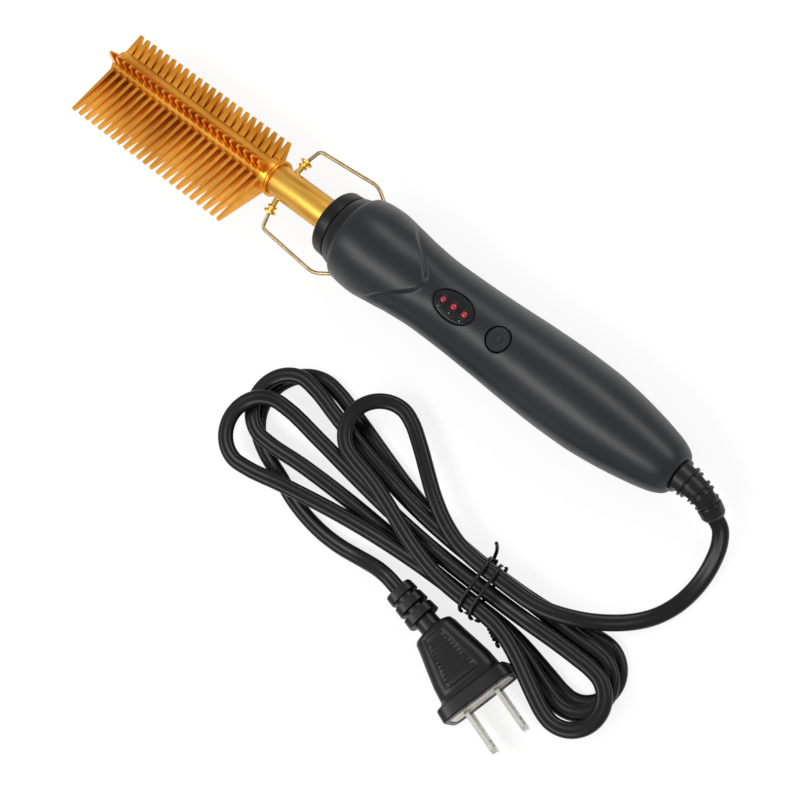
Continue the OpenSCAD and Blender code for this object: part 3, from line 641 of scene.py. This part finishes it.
def make_tie():
    start = -TIE_PITCH
    near = Vector((start - 1.2, TIE_HALF - 1.6, TIE_R + 0.9))
    knot = Vector((start - 7.6, TIE_HALF + 1.2, 2.9))
    pair = [twist(near, knot, 0.64, 2.6, phase) for phase in (0, 180)]
    tip = [Vector((start - 9.2, TIE_HALF + 2.2, 4.0)), Vector((start - 10.6, TIE_HALF + 2.4, 5.6))]
    left = list(reversed(pair[0] + tip))
    right = [
        Vector((TIE_PITCH + 0.6, -TIE_HALF + 4.5, TIE_R)),
        Vector((TIE_PITCH + 1.0, -TIE_HALF + 1.0, TIE_R + 0.2)),
        Vector((TIE_PITCH + 1.4, -TIE_HALF - 2.4, 2.0)),
        Vector((TIE_PITCH + 1.6, -TIE_HALF - 4.4, 5.0)),
        Vector((TIE_PITCH + 1.2, -TIE_HALF - 5.0, 8.5)),
    ]
    main = left + tie_turn(start) + tie_turn(0) + right
    turn = Matrix.Translation((TIE_AT.x, TIE_AT.y, 0)) @ Matrix.Rotation(math.radians(BUNDLE), 4, "Z")
    section = oval(TIE_R, TIE_R, 2, 12)
    parts = []
    for line in (main, pair[1]):
        path = smooth_path([turn @ p for p in line], 2)
        for p in path:
            p.z = max(p.z, TIE_R)
        parts.append(sweep(path, lambda i: section))
    return dress(make_object("cord_tie_wire", parts, 60), tie_black, ["cord_tie"])


tie = make_tie()

# ---- plug ---------------------------------------------------------------------------------
PLUG_SIDES = 96
PLUG_STEP = 0.2
# Half width, half height and roundness from the face back along the plug
PLUG_WIDTHS = [
    (0, 14.0), (0.5, 14.4), (4.5, 14.2), (5.0, 13.9), (5.4, 12.3), (6.6, 11.7), (12.2, 11.1),
    (17.4, 10.0), (23.8, 8.6), (27.6, 7.9), (28.8, 7.3), (29.3, 6.0), (29.6, 4.1), (48, 3.7),
]
PLUG_HEIGHTS = [
    (0, 7.6), (0.5, 8.0), (4.5, 8.0), (5.0, 7.7), (5.5, 6.7), (7.5, 6.1), (20, 5.9), (27.6, 5.5),
    (28.8, 5.1), (29.3, 4.5), (29.6, 3.6), (48, 3.2),
]
PLUG_POWERS = [(0, 6.5), (5.2, 6.0), (6.5, 4.2), (20, 3.4), (29, 2.6), (31, 2.2), (48, 2.2)]
RIB_MIDDLES = [35.8, 41.0, 46.1]
RIB_HALF = 1.8
RIB_REACH = (6.3, 5.1)  # half width and half height of a rib at the boot's start
RIB_TAPER = 0.06
RIB_SLOPE = 0.3
RIB_POWER = 0.8         # how much squarer a rib is
BEND_LEN = 3            # the boot turns off over this length
PANEL_HALF = [(8.6, 6.6), (26.6, 3.4)]
PANEL_EDGE = 0.8
PANEL_FROM = PANEL_HALF[0][0]
PANEL_TO = PANEL_HALF[1][0]
PANEL_RISE = 0.5
RIDGE_PITCH = 1.5
RIDGE_RISE = 0.34
INSERT_W = 12.4
INSERT_H = 4.4
INSERT_DEPTH = 1.0
INSERT_SLIP = 0.15


def plug_point(s):
    """The plug's middle line, s back from its face, with the boot's turn."""
    straight = min(s, PLUG_BODY)
    return PLUG_AT - straight * direction(PLUG_TURN) - (s - straight) * BOOT_WAY


def rib_share(s):
    """How far a ring at s belongs to a rib of the boot: 0 to 1."""
    return max(soft_edge(RIB_HALF - abs(s - m), RIB_SLOPE) for m in RIB_MIDDLES)


def panel_rise(s, v):
    """How high the panel stands at s back from the face and v aside, between its ridges too."""
    half = along(PANEL_HALF, s)
    inside = soft_edge(half - abs(v), PANEL_EDGE) * soft_edge(s - PANEL_FROM, PANEL_EDGE)
    inside *= soft_edge(PANEL_TO - s, PANEL_EDGE)
    wave = 0.5 - 0.5 * math.cos(2 * math.pi * (s - PANEL_FROM) / RIDGE_PITCH)
    cut = ease((s - PANEL_FROM - 0.8) / 0.6) * ease((PANEL_TO - 0.8 - s) / 0.6)
    cut *= ease((half - 0.6 - abs(v)) / 0.5)
    return inside * (PANEL_RISE - RIDGE_RISE * wave * cut)


def plug_ring(s):
    """The plug's ring at s back from its face, with the ribs and the ridged panel."""
    w = along(PLUG_WIDTHS, s)
    h = along(PLUG_HEIGHTS, s)
    power = along(PLUG_POWERS, s)
    if s > PLUG_BODY + 0.6:
        share = rib_share(s)
        taper = (s - PLUG_BODY) * RIB_TAPER
        w += (RIB_REACH[0] - taper - w) * share
        h += (RIB_REACH[1] - taper - h) * share
        power += RIB_POWER * share
    return [(v, z + panel_rise(s, v) if z > 0 else z) for v, z in oval(w, h, power, PLUG_SIDES)]


def make_plug_body():
    marks = {key for key, _ in PLUG_WIDTHS} | {key for key, _ in PLUG_HEIGHTS}
    marks |= {round(PLUG_STEP * k, 3) for k in range(round(PLUG_LEN / PLUG_STEP) + 1)}
    marks = sorted(s for s in marks if s <= PLUG_LEN)
    recess = oval(INSERT_W + INSERT_SLIP, INSERT_H + INSERT_SLIP, 8, PLUG_SIDES)
    rings = [(INSERT_DEPTH, recess), (0.0, recess)] + [(s, plug_ring(s)) for s in marks]
    placed = []
    for s, ring in rings:
        turn = PLUG_TURN + BOOT_TURN * soft_edge(s - PLUG_BODY, BEND_LEN)
        side = direction(turn + 90)
        placed.append([plug_point(s) + side * v + Vector((0, 0, z)) for v, z in ring])
    made = make_object("plug_moulding", [loft(placed)], 34)
    return dress(made, plug_black, ["plug_body"])


def make_plug_insert():
    rings = []
    for s, shrink in ((0.98, 0.0), (0.3, 0.0), (0.12, 0.1), (0.05, 0.3)):
        ring = oval(INSERT_W - shrink, INSERT_H - shrink, 8, PLUG_SIDES)
        side = direction(PLUG_TURN + 90)
        rings.append([plug_point(s) + side * v + Vector((0, 0, z)) for v, z in ring])
    made = make_object("plug_insert_plate", [loft(rings)], 34)
    return dress(made, plug_insert, ["plug_face"])


plug_body = make_plug_body()
plug_plate = make_plug_insert()

# ---- handle -------------------------------------------------------------------------------
SHELL_FRONT = -10.8
SHELL_WALL = 2.0
CORD_HOLE = 5.4
BODY_KEYS = [
    (HANDLE_BACK, 6.6), (-154.9, 7.6), (-154, 8.4), (-151, 9.9), (-146, 11.3), (-138, 12.95),
    (-128, 14.5), (-118, 15.45), (-106, 15.7), (-92, 15.4), (-77, 14.7), (-62, 14.2), (-50, 14.1),
    (-38, 14.9), (-29, 16.1), (-20, 17.1), (-16.5, 16.98), (-13.6, 16.65), (-11.4, 16.2),
    (SHELL_FRONT, 15.6),
]
# The front bulge ends in a tongue on top, with a lip and a scoop behind it
CREASE_SIDE = -29.0
CREASE_REACH = 19.2
TONGUE_POWER = 2.7      # narrower for a higher power
CREASE_LIP = 0.5
CREASE_SCOOP = 0.95
CREASE_FADE = 6
CREASE_MIDDLE = 0.1
CREASE_WIDTH = 3.0
# The lip and the scoop fade in between these two sines of the angle
CREASE_SINES = (0.1, 0.75)
FRONT_RINGS = 40
CREASE_RINGS = 22
CREASE_END = -56.0
BACK_RINGS = [-152.0, -152.8, -153.5, -154.0, -154.5, -154.9, -155.2, HANDLE_BACK]
THETA_STEP = 2
SEAM_HALF = 0.7         # degrees
SEAM_DEPTH = 0.12


def crease_x(theta):
    """Where the front bulge ends: a tongue on top, straight below."""
    return CREASE_SIDE - CREASE_REACH * max(0.0, math.sin(math.radians(theta))) ** TONGUE_POWER


def handle_radius(x, theta):
    """Radius of the handle's skin; theta is 90 on top."""
    past = x - crease_x(theta)
    lip = CREASE_LIP * math.exp(-max(past, 0.0) / CREASE_FADE)
    scoop = CREASE_SCOOP * math.exp(min(past, 0.0) / CREASE_FADE)
    step = soft_edge(past - CREASE_MIDDLE, CREASE_WIDTH)
    none, full = CREASE_SINES
    share = ease((math.sin(math.radians(theta)) - none) / (full - none))
    return smooth_along(BODY_KEYS, x) + share * (lip * step - scoop * (1 - step))


def handle_stations(theta):
    """Places along the handle; a ring follows the crease at every angle."""
    crease = crease_x(theta)
    out = []
    for i in range(FRONT_RINGS):
        t = 1 - (1 - i / FRONT_RINGS) ** 1.5
        out.append(SHELL_FRONT + (crease - SHELL_FRONT) * t)
    for i in range(CREASE_RINGS):
        t = i / CREASE_RINGS
        out.append(crease + (CREASE_END - crease) * t**1.3)
    x = CREASE_END
    while x > BACK_RINGS[0]:
        out.append(x)
        x -= 1.0
    return out + BACK_RINGS


def shell_ring(theta, drop):
    """The wall's outline at one angle, its skin lowered by drop."""
    c = math.cos(math.radians(theta))
    s = math.sin(math.radians(theta))
    outer = []
    inner = []
    for x in handle_stations(theta):
        r = handle_radius(x, theta)
        outer.append((x, r - drop))
        inner.append((max(x, HANDLE_BACK + SHELL_WALL), max(r - SHELL_WALL, CORD_HOLE)))
    outer.append((HANDLE_BACK, CORD_HOLE))
    inner.append((HANDLE_BACK + SHELL_WALL, CORD_HOLE))
    return [Vector((x, r * c, AXIS_H + r * s)) for x, r in outer + inner[::-1]]


def shell_part(from_angle):
    """Half of the handle as a closed skin with a wall; the seam has a fine groove."""
    turns = [SEAM_HALF, *range(THETA_STEP, 180, THETA_STEP), 180 - SEAM_HALF]
    rings = [shell_ring(from_angle + turn, 0.0) for turn in turns]
    rings.insert(0, shell_ring(from_angle, SEAM_DEPTH))
    rings.append(shell_ring(from_angle + 180, SEAM_DEPTH))
    count = len(rings[0])
    points = [p for ring in rings for p in ring]
    faces = []
    for i in range(len(rings) - 1):
        for k in range(count):
            n = (k + 1) % count
            faces.append((i * count + k, (i + 1) * count + k, (i + 1) * count + n, i * count + n))
    half = count // 2
    for base in (0, (len(rings) - 1) * count):
        for k in range(half - 1):
            a, b = base + k, base + k + 1
            faces.append((a, b, base + count - 2 - k, base + count - 1 - k))
    return points, faces


WINDOW_X = -62.2
WINDOW_HALF = (8.5, 4.8)
# How far out of a hole's wall, and how high over the handle's skin, its lip runs
WINDOW_LIP = [
    (1.3, 0.5), (0.9, 0.05), (0.75, -0.06), (0.5, -0.3), (0.2, -0.7), (0.0, -1.0), (0.0, -1.4),
]
BUTTON_X = -82.6
BUTTON_GAP = 4.7
BUTTON_LIP = [(0.75, 0.5), (0.35, 0.03), (0.12, -0.12), (0.0, -0.4)]
# The cutters reach from over the skin to under it, over the axis
CUT_TOP = 20
CUT_FLOOR = 7


def top_height(x, y):
    """Height of the handle's skin over its axis at a place on top."""
    z = 14.0
    for _ in range(6):
        theta = math.degrees(math.atan2(z, y))
        z = math.sqrt(max(handle_radius(x, theta) ** 2 - y * y, 1.0))
    return z


def hole_cutter(x, half_x, half_y, lip, sides=96):
    """A plug shape that cuts a hole with a soft lip; the lip follows the handle's skin."""
    rings = []
    for grow, offset in lip:
        ring = []
        for k in range(sides):
            a = 2 * math.pi * k / sides
            px = x + (half_x + grow) * math.cos(a)
            py = (half_y + grow) * math.sin(a)
            ring.append(Vector((px, py, AXIS_H + top_height(px, py) + offset)))
        rings.append(ring)
    rings.insert(0, [Vector((p.x, p.y, AXIS_H + CUT_TOP)) for p in rings[0]])
    rings.append([Vector((p.x, p.y, AXIS_H + CUT_FLOOR)) for p in rings[-1]])
    return make_object("cutter", [loft(rings)])


def cut(obj, cutter):
    """Takes the cutter's shape out of obj for good."""
    change = obj.modifiers.new("cut", "BOOLEAN")
    change.operation = "DIFFERENCE"
    change.object = cutter
    change.solver = "EXACT"
    bpy.context.view_layer.update()
    seen = obj.evaluated_get(bpy.context.evaluated_depsgraph_get())
    mesh = bpy.data.meshes.new_from_object(seen)
    obj.modifiers.clear()
    obj.data = mesh
    bpy.data.objects.remove(cutter)


def make_handle():
    upper = make_object("handle_top", [shell_part(0)], 30)
    cut(upper, hole_cutter(WINDOW_X, *WINDOW_HALF, WINDOW_LIP))
    cut(upper, hole_cutter(BUTTON_X, BUTTON_GAP, BUTTON_GAP, BUTTON_LIP))
    upper.data.set_sharp_from_angle(angle=math.radians(30))
    dress(upper, handle_black, ["handle_upper"])
    lower = make_object("handle_bottom", [shell_part(180)], 30)
    dress(lower, handle_black, ["handle_lower"])


make_handle()

NOSE_BORE = 10.2
turned("nose_ring", [(-5.1, NOSE_BORE), (-5.1, 12.9), (-0.6, 12.55), (0.2, 12.0), (0.2, NOSE_BORE)],
       nose_black, ["nose_cap"], 0.45)
turned("front_ring", [(SHELL_FRONT, 11), (SHELL_FRONT, 14.7), (-5.9, 13.3), (-5.6, 12.5),
                      (-5.2, 12.5), (-5.2, 11)],
       nose_black, ["front_collar"], 0.3)

# ---- window and lamps ---------------------------------------------------------------------
WINDOW_TOP = 13.3
WINDOW_PLATE = [half - 0.15 for half in WINDOW_HALF]
LED_PITCH = 4.8
LED_X = {"led_low": WINDOW_X + LED_PITCH, "led_mid": WINDOW_X, "led_high": WINDOW_X - LED_PITCH}
LED_R = 1.55
LED_BASE = 8.6
LED_DOME = 12.4
MARK_R = 0.28
MARK_SIDE = 2.75


def make_window():
    """A dark plate with a rounded rim and a raised ring round each lamp."""
    levels = [(0.0, 9.0), (0.0, WINDOW_TOP - 0.3), (0.1, WINDOW_TOP - 0.08), (0.3, WINDOW_TOP)]
    rings = []
    for shrink, z in levels:
        ring = oval(WINDOW_PLATE[0] - shrink, WINDOW_PLATE[1] - shrink, 2, 96)
        rings.append([Vector((WINDOW_X + a, b, AXIS_H + z)) for a, b in ring])
    parts = [loft(rings)]
    for x in LED_X.values():
        profile = [(WINDOW_TOP - 0.4, 1.62), (WINDOW_TOP + 0.25, 1.7), (WINDOW_TOP + 0.25, 2.0),
                   (WINDOW_TOP - 0.4, 2.15)]
        parts.append(lathe(rounded(profile, 0.15), upright(x), 64))
    made = make_object("window_plate", parts, 34)
    dress(made, window_black, ["indicator_window"])


def make_marks():
    """A small dot beside each lamp."""
    parts = []
    for x in LED_X.values():
        place = Matrix.Translation((x, MARK_SIDE, AXIS_H))
        low = WINDOW_TOP - 0.2
        high = WINDOW_TOP + 0.05
        parts.append(lathe([(low, 0), (low, MARK_R), (high, MARK_R), (high, 0)], place, 16))
    dress(make_object("window_dots", parts), mark_grey, ["indicator_window"])


def dome_profile():
    """A lamp's stem and dome."""
    profile = [(LED_BASE, 0), (LED_BASE, LED_R - 0.1), (LED_DOME, LED_R - 0.04)]
    for a in range(0, 91, 10):
        angle = math.radians(a)
        profile.append((LED_DOME + LED_R * math.sin(angle), (LED_R - 0.04) * math.cos(angle)))
    return profile


def make_lamps():
    for name, x in LED_X.items():
        made = make_object(name + "_lens", [lathe(dome_profile(), upright(x), 48)], 50)
        dress(made, led_red, [name])


make_window()
make_marks()
make_lamps()

# ---- barrel, collar and comb --------------------------------------------------------------
BARREL_R = 6.1
BARREL_BORE = 4.9
COMB_BACK = BARREL_FRONT
SOCKET_BACK = COMB_BACK - 3.6
SOCKET_R = 6.85
TEETH = 23
TOOTH_PITCH = 3.62
FIRST_TOOTH = SOCKET_BACK + 2.8 + TOOTH_PITCH * (TEETH - 1)  # the one at the comb's end
COMB_FRONT = FIRST_TOOTH + 1.8
COMB_R = 5.9
COMB_BORE = 4.3
# Tilt over the side, reach, width at the axis and at the tip, thickness at the root and at the
# tip, and how far the tips lie ahead of the roots
TOOTH_ROWS = {
    "long": (14, 25.9, 10.4, 1.5, 1.6, 1.05, 2.6),
    "middle": (93, 12.4, 7.2, 1.2, 3.12, 1.2, 0),
    "right": (168, 13.5, 6.8, 1.2, 3.12, 1.3, 0),
}
ROOT = 4.7          # where the teeth start, from the axis
TOOTH_EDGE = 0.16


def barrel_parts():
    turned("barrel_tube", [(-22, BARREL_BORE), (-22, BARREL_R), (COMB_BACK - 0.1, BARREL_R),
                           (COMB_BACK - 0.1, BARREL_BORE)],
           barrel_gold, ["barrel"], 0.2)
    # Two rims with a groove between them
    band = [(-1.2, 6.12), (-1.2, 7.3), (-0.8, 7.4), (-0.68, 6.75), (-0.52, 6.75), (-0.4, 7.4),
            (0, 7.3), (0, 6.12)]
    turned("collar_band", [(SOCKET_BACK + x, r) for x, r in band], comb_gold,
           ["collar_ring"], 0.12)
    dome = [(COMB_FRONT - 3, 0), (COMB_FRONT - 3, 4.2), (COMB_FRONT - 0.1, 4.25)]
    dome += [(COMB_FRONT + 0.8 * math.sin(math.radians(a)), 4.22 * math.cos(math.radians(a)) ** 0.6)
             for a in range(10, 81, 10)]
    dome.append((COMB_FRONT + 0.8, 0))
    made = make_object("comb_end_cap", [lathe(dome, ALONG_TOOL)], 50)
    dress(made, comb_gold, ["comb_end_plug"])


def bevelled_box(corners, edge):
    """Points and faces of a box given by two rings of four corners, its edges bevelled."""
    work = bmesh.new()
    verts = [work.verts.new(p) for p in corners]
    for f in ((0, 1, 2, 3), (7, 6, 5, 4), (0, 4, 5, 1), (1, 5, 6, 2), (2, 6, 7, 3), (3, 7, 4, 0)):
        work.faces.new([verts[i] for i in f])
    bmesh.ops.bevel(work, geom=list(work.edges), offset=edge, segments=2, profile=0.6, affect="EDGES")
    work.verts.index_update()
    points = [v.co.copy() for v in work.verts]
    faces = [[v.index for v in f.verts] for f in work.faces]
    work.free()
    return points, faces


def tooth_level(tilt, r, x0, x1, half_w):
    """Four corners of a tooth's cut at the distance r from the axis."""
    out = Vector((0, math.cos(math.radians(tilt)), math.sin(math.radians(tilt))))
    wide = Vector((0, -math.sin(math.radians(tilt)), math.cos(math.radians(tilt))))
    middle = Vector((0, 0, AXIS_H)) + out * r
    return [middle + wide * w + Vector((x, 0, 0))
            for x, w in ((x0, -half_w), (x1, -half_w), (x1, half_w), (x0, half_w))]


def tooth_row(tilt, tip, width, tip_width, thick, tip_thick, lean):
    """The teeth of one row, each a wedge from inside the tube to its tip."""
    root_width = width + (tip_width - width) * ROOT / tip
    parts = []
    for i in range(TEETH):
        x = FIRST_TOOTH - i * TOOTH_PITCH
        foot = tooth_level(tilt, ROOT, x - thick / 2, x + thick / 2, root_width / 2)
        x += lean
        end = tooth_level(tilt, tip, x - tip_thick / 2, x + tip_thick / 2, tip_width / 2)
        parts.append(bevelled_box(foot + end, TOOTH_EDGE))
    return parts


def make_comb():
    socket_bore = BARREL_R + 0.06
    tube = [(SOCKET_BACK, socket_bore), (SOCKET_BACK, SOCKET_R), (COMB_BACK, SOCKET_R),
            (COMB_BACK, COMB_R), (COMB_FRONT, COMB_R), (COMB_FRONT, COMB_BORE),
            (COMB_BACK, COMB_BORE), (COMB_BACK, socket_bore)]
    made = make_object("comb_tube", [lathe(rounded(tube, 0.3), ALONG_TOOL)])
    dress(made, comb_gold, ["comb_head"])
    for name, values in TOOTH_ROWS.items():
        made = make_object("teeth_" + name, tooth_row(*values), 24)
        dress(made, tooth_gold, ["comb_head"])


barrel_parts()
make_comb()

# ---- guards -------------------------------------------------------------------------------
GUARD_TILT = 12
POST_X = 25.5
POST_REACH = 11.8
POST_FOOT = 5.9
WIRE_R = 0.7
# Places along the tool and out from its axis, and the radius at each inner corner
WIRE_PATH = [(POST_X, POST_REACH), (24.6, 17.9), (-3, 19.9), (-12.4, 14.3)]
WIRE_BENDS = [2, 9]
POST_PROFILE = [
    (POST_FOOT, 0), (POST_FOOT, 1.1), (POST_REACH - 3.0, 1.1), (POST_REACH - 2.8, 1.9),
    (POST_REACH - 2.2, 2.0), (POST_REACH - 2.0, 1.3), (POST_REACH - 1.3, 1.25),
    (POST_REACH - 1.0, 2.3), (POST_REACH - 0.3, 2.5), (POST_REACH, 2.2), (POST_REACH, 0),
]


def bent(points, bends, steps=14):
    """A flat path with each inner corner bent to its radius."""
    corners = [Vector(p) for p in points]
    out = [corners[0]]
    for i, radius in enumerate(bends, 1):
        a = (corners[i] - corners[i - 1]).normalized()
        b = (corners[i + 1] - corners[i]).normalized()
        turn = math.atan2(a.x * b.y - a.y * b.x, a.dot(b))
        side = math.copysign(1, turn)
        start = corners[i] - a * radius * math.tan(abs(turn) / 2)
        centre = start + side * radius * Vector((-a.y, a.x))
        arm = start - centre
        for k in range(steps + 1):
            out.append(centre + Matrix.Rotation(turn * k / steps, 2) @ arm)
    out.append(corners[-1])
    return out


def guard_point(side, x, w):
    """A point of a guard's plane, w from the axis; side is 1 for left and -1 for right."""
    tilt = math.radians(GUARD_TILT)
    return Vector((x, side * w * math.cos(tilt), AXIS_H - w * math.sin(tilt)))


def make_guard(word, side):
    out = guard_point(side, POST_X, 1) - guard_point(side, POST_X, 0)
    place = Matrix.Translation((POST_X, 0, AXIS_H)) @ out.to_track_quat("Z", "X").to_matrix().to_4x4()
    post = make_object("post_" + word, [lathe(rounded(POST_PROFILE, 0.25), place, 48)], 50)
    dress(post, post_gold, ["guard_post_" + word])
    path = [guard_point(side, x, w) for x, w in bent(WIRE_PATH, WIRE_BENDS)]
    section = oval(WIRE_R, WIRE_R, 2, 20)
    wire = make_object("wire_" + word, [sweep(path, lambda i: section)], 60)
    dress(wire, wire_bronze, ["guard_wire_" + word])


make_guard("left", 1)
make_guard("right", -1)

# ---- carried-over parts -------------------------------------------------------------------
INNER_FINISH = {
    "heater_rod": ceramic, "heater_sleeve": mica, "heater_leads": lead_red, "thermistor": ceramic,
    "heat_bush": mica, "handle_screws": screw_steel, "power_button": button_black,
    "switch_plunger": plunger_white, "tact_switch": chip_black, "circuit_board": board_green,
    "control_chip": chip_black, "capacitor": capacitor_blue, "triac": chip_black,
    "mains_leads": lead_brown, "plug_blades": blade_nickel,
}


def dress_nodes():
    for name, material in INNER_FINISH.items():
        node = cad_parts[name]
        node.data.materials.clear()
        node.data.materials.append(material)


def soften(name, width):
    """A fine rounded edge on a carried-over node."""
    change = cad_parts[name].modifiers.new("edge", "BEVEL")
    change.width = width / 1000
    change.segments = 2
    change.limit_method = "ANGLE"
    change.angle_limit = math.radians(40)


dress_nodes()
soften("plug_blades", 0.2)


# ---- stage --------------------------------------------------------------------------------
def seen_directly(tree):
    """1 for the rays that come straight from the camera, 0 for all others."""
    return tree.nodes.new("ShaderNodeLightPath").outputs["Is Camera Ray"]


def make_world(level):
    """A world that lights the tool with this level and that the camera sees as plain white."""
    world = bpy.data.worlds.new("world")
    world.use_nodes = True
    tree = world.node_tree
    plain = tree.nodes["Background"]
    plain.inputs["Color"].default_value = (1, 1, 1, 1)
    plain.inputs["Strength"].default_value = level
    white = tree.nodes.new("ShaderNodeBackground")
    white.inputs["Color"].default_value = (1, 1, 1, 1)
    white.inputs["Strength"].default_value = 1
    mix = tree.nodes.new("ShaderNodeMixShader")
    tree.links.new(seen_directly(tree), mix.inputs["Fac"])
    tree.links.new(plain.outputs[0], mix.inputs[1])
    tree.links.new(white.outputs[0], mix.inputs[2])
    tree.links.new(mix.outputs[0], tree.nodes["World Output"].inputs["Surface"])
    bpy.context.scene.world = world


def make_floor(half, glow_share):
    """A pale floor that the camera sees partly as plain white, with the shadows kept."""
    mesh = bpy.data.meshes.new("floor")
    mesh.from_pydata([(-half, -half, 0), (half, -half, 0), (half, half, 0), (-half, half, 0)], [],
                     [(0, 1, 2, 3)])
    floor = bpy.data.objects.new("floor", mesh)
    bpy.context.scene.collection.objects.link(floor)
    made = bpy.data.materials.new("floor")
    made.use_nodes = True
    tree = made.node_tree
    shader = tree.nodes["Principled BSDF"]
    shader.inputs["Base Color"].default_value = (0.86, 0.86, 0.86, 1)
    shader.inputs["Roughness"].default_value = 0.9
    glow = tree.nodes.new("ShaderNodeEmission")
    glow.inputs["Strength"].default_value = 1
    mix = tree.nodes.new("ShaderNodeMixShader")
    share = tree.nodes.new("ShaderNodeMath")
    share.operation = "MULTIPLY"
    share.inputs[1].default_value = glow_share
    tree.links.new(seen_directly(tree), share.inputs[0])
    tree.links.new(share.outputs[0], mix.inputs["Fac"])
    tree.links.new(shader.outputs[0], mix.inputs[1])
    tree.links.new(glow.outputs[0], mix.inputs[2])
    tree.links.new(mix.outputs[0], tree.nodes["Material Output"].inputs["Surface"])
    mesh.materials.append(made)


def make_lamp(name, place, target, size, power):
    """A soft box of this size in metres, at one place of the tool's frame and aimed at another."""
    data = bpy.data.lights.new(name, "AREA")
    data.shape = "RECTANGLE"
    data.size, data.size_y = size
    data.energy = power
    lamp = bpy.data.objects.new(name, data)
    bpy.context.scene.collection.objects.link(lamp)
    lamp.location = row(place)
    lamp.rotation_euler = (row(target) - row(place)).to_track_quat("-Z", "Y").to_euler()


WORLD_LEVEL = 0.7
FLOOR_HALF = 30  # in metres: the edge lies far off in a low view
FLOOR_GLOW = 0.8
LIT_PLACE = (-40, 30, 0)
LAMP_SIZE = (0.9, 0.2)
make_world(WORLD_LEVEL)
make_floor(FLOOR_HALF, FLOOR_GLOW)
make_lamp("key", (60, 420, 620), LIT_PLACE, LAMP_SIZE, 4.6)
make_lamp("fill", (-120, -480, 520), LIT_PLACE, LAMP_SIZE, 3.0)
bpy.context.scene.view_settings.view_transform = "Standard"
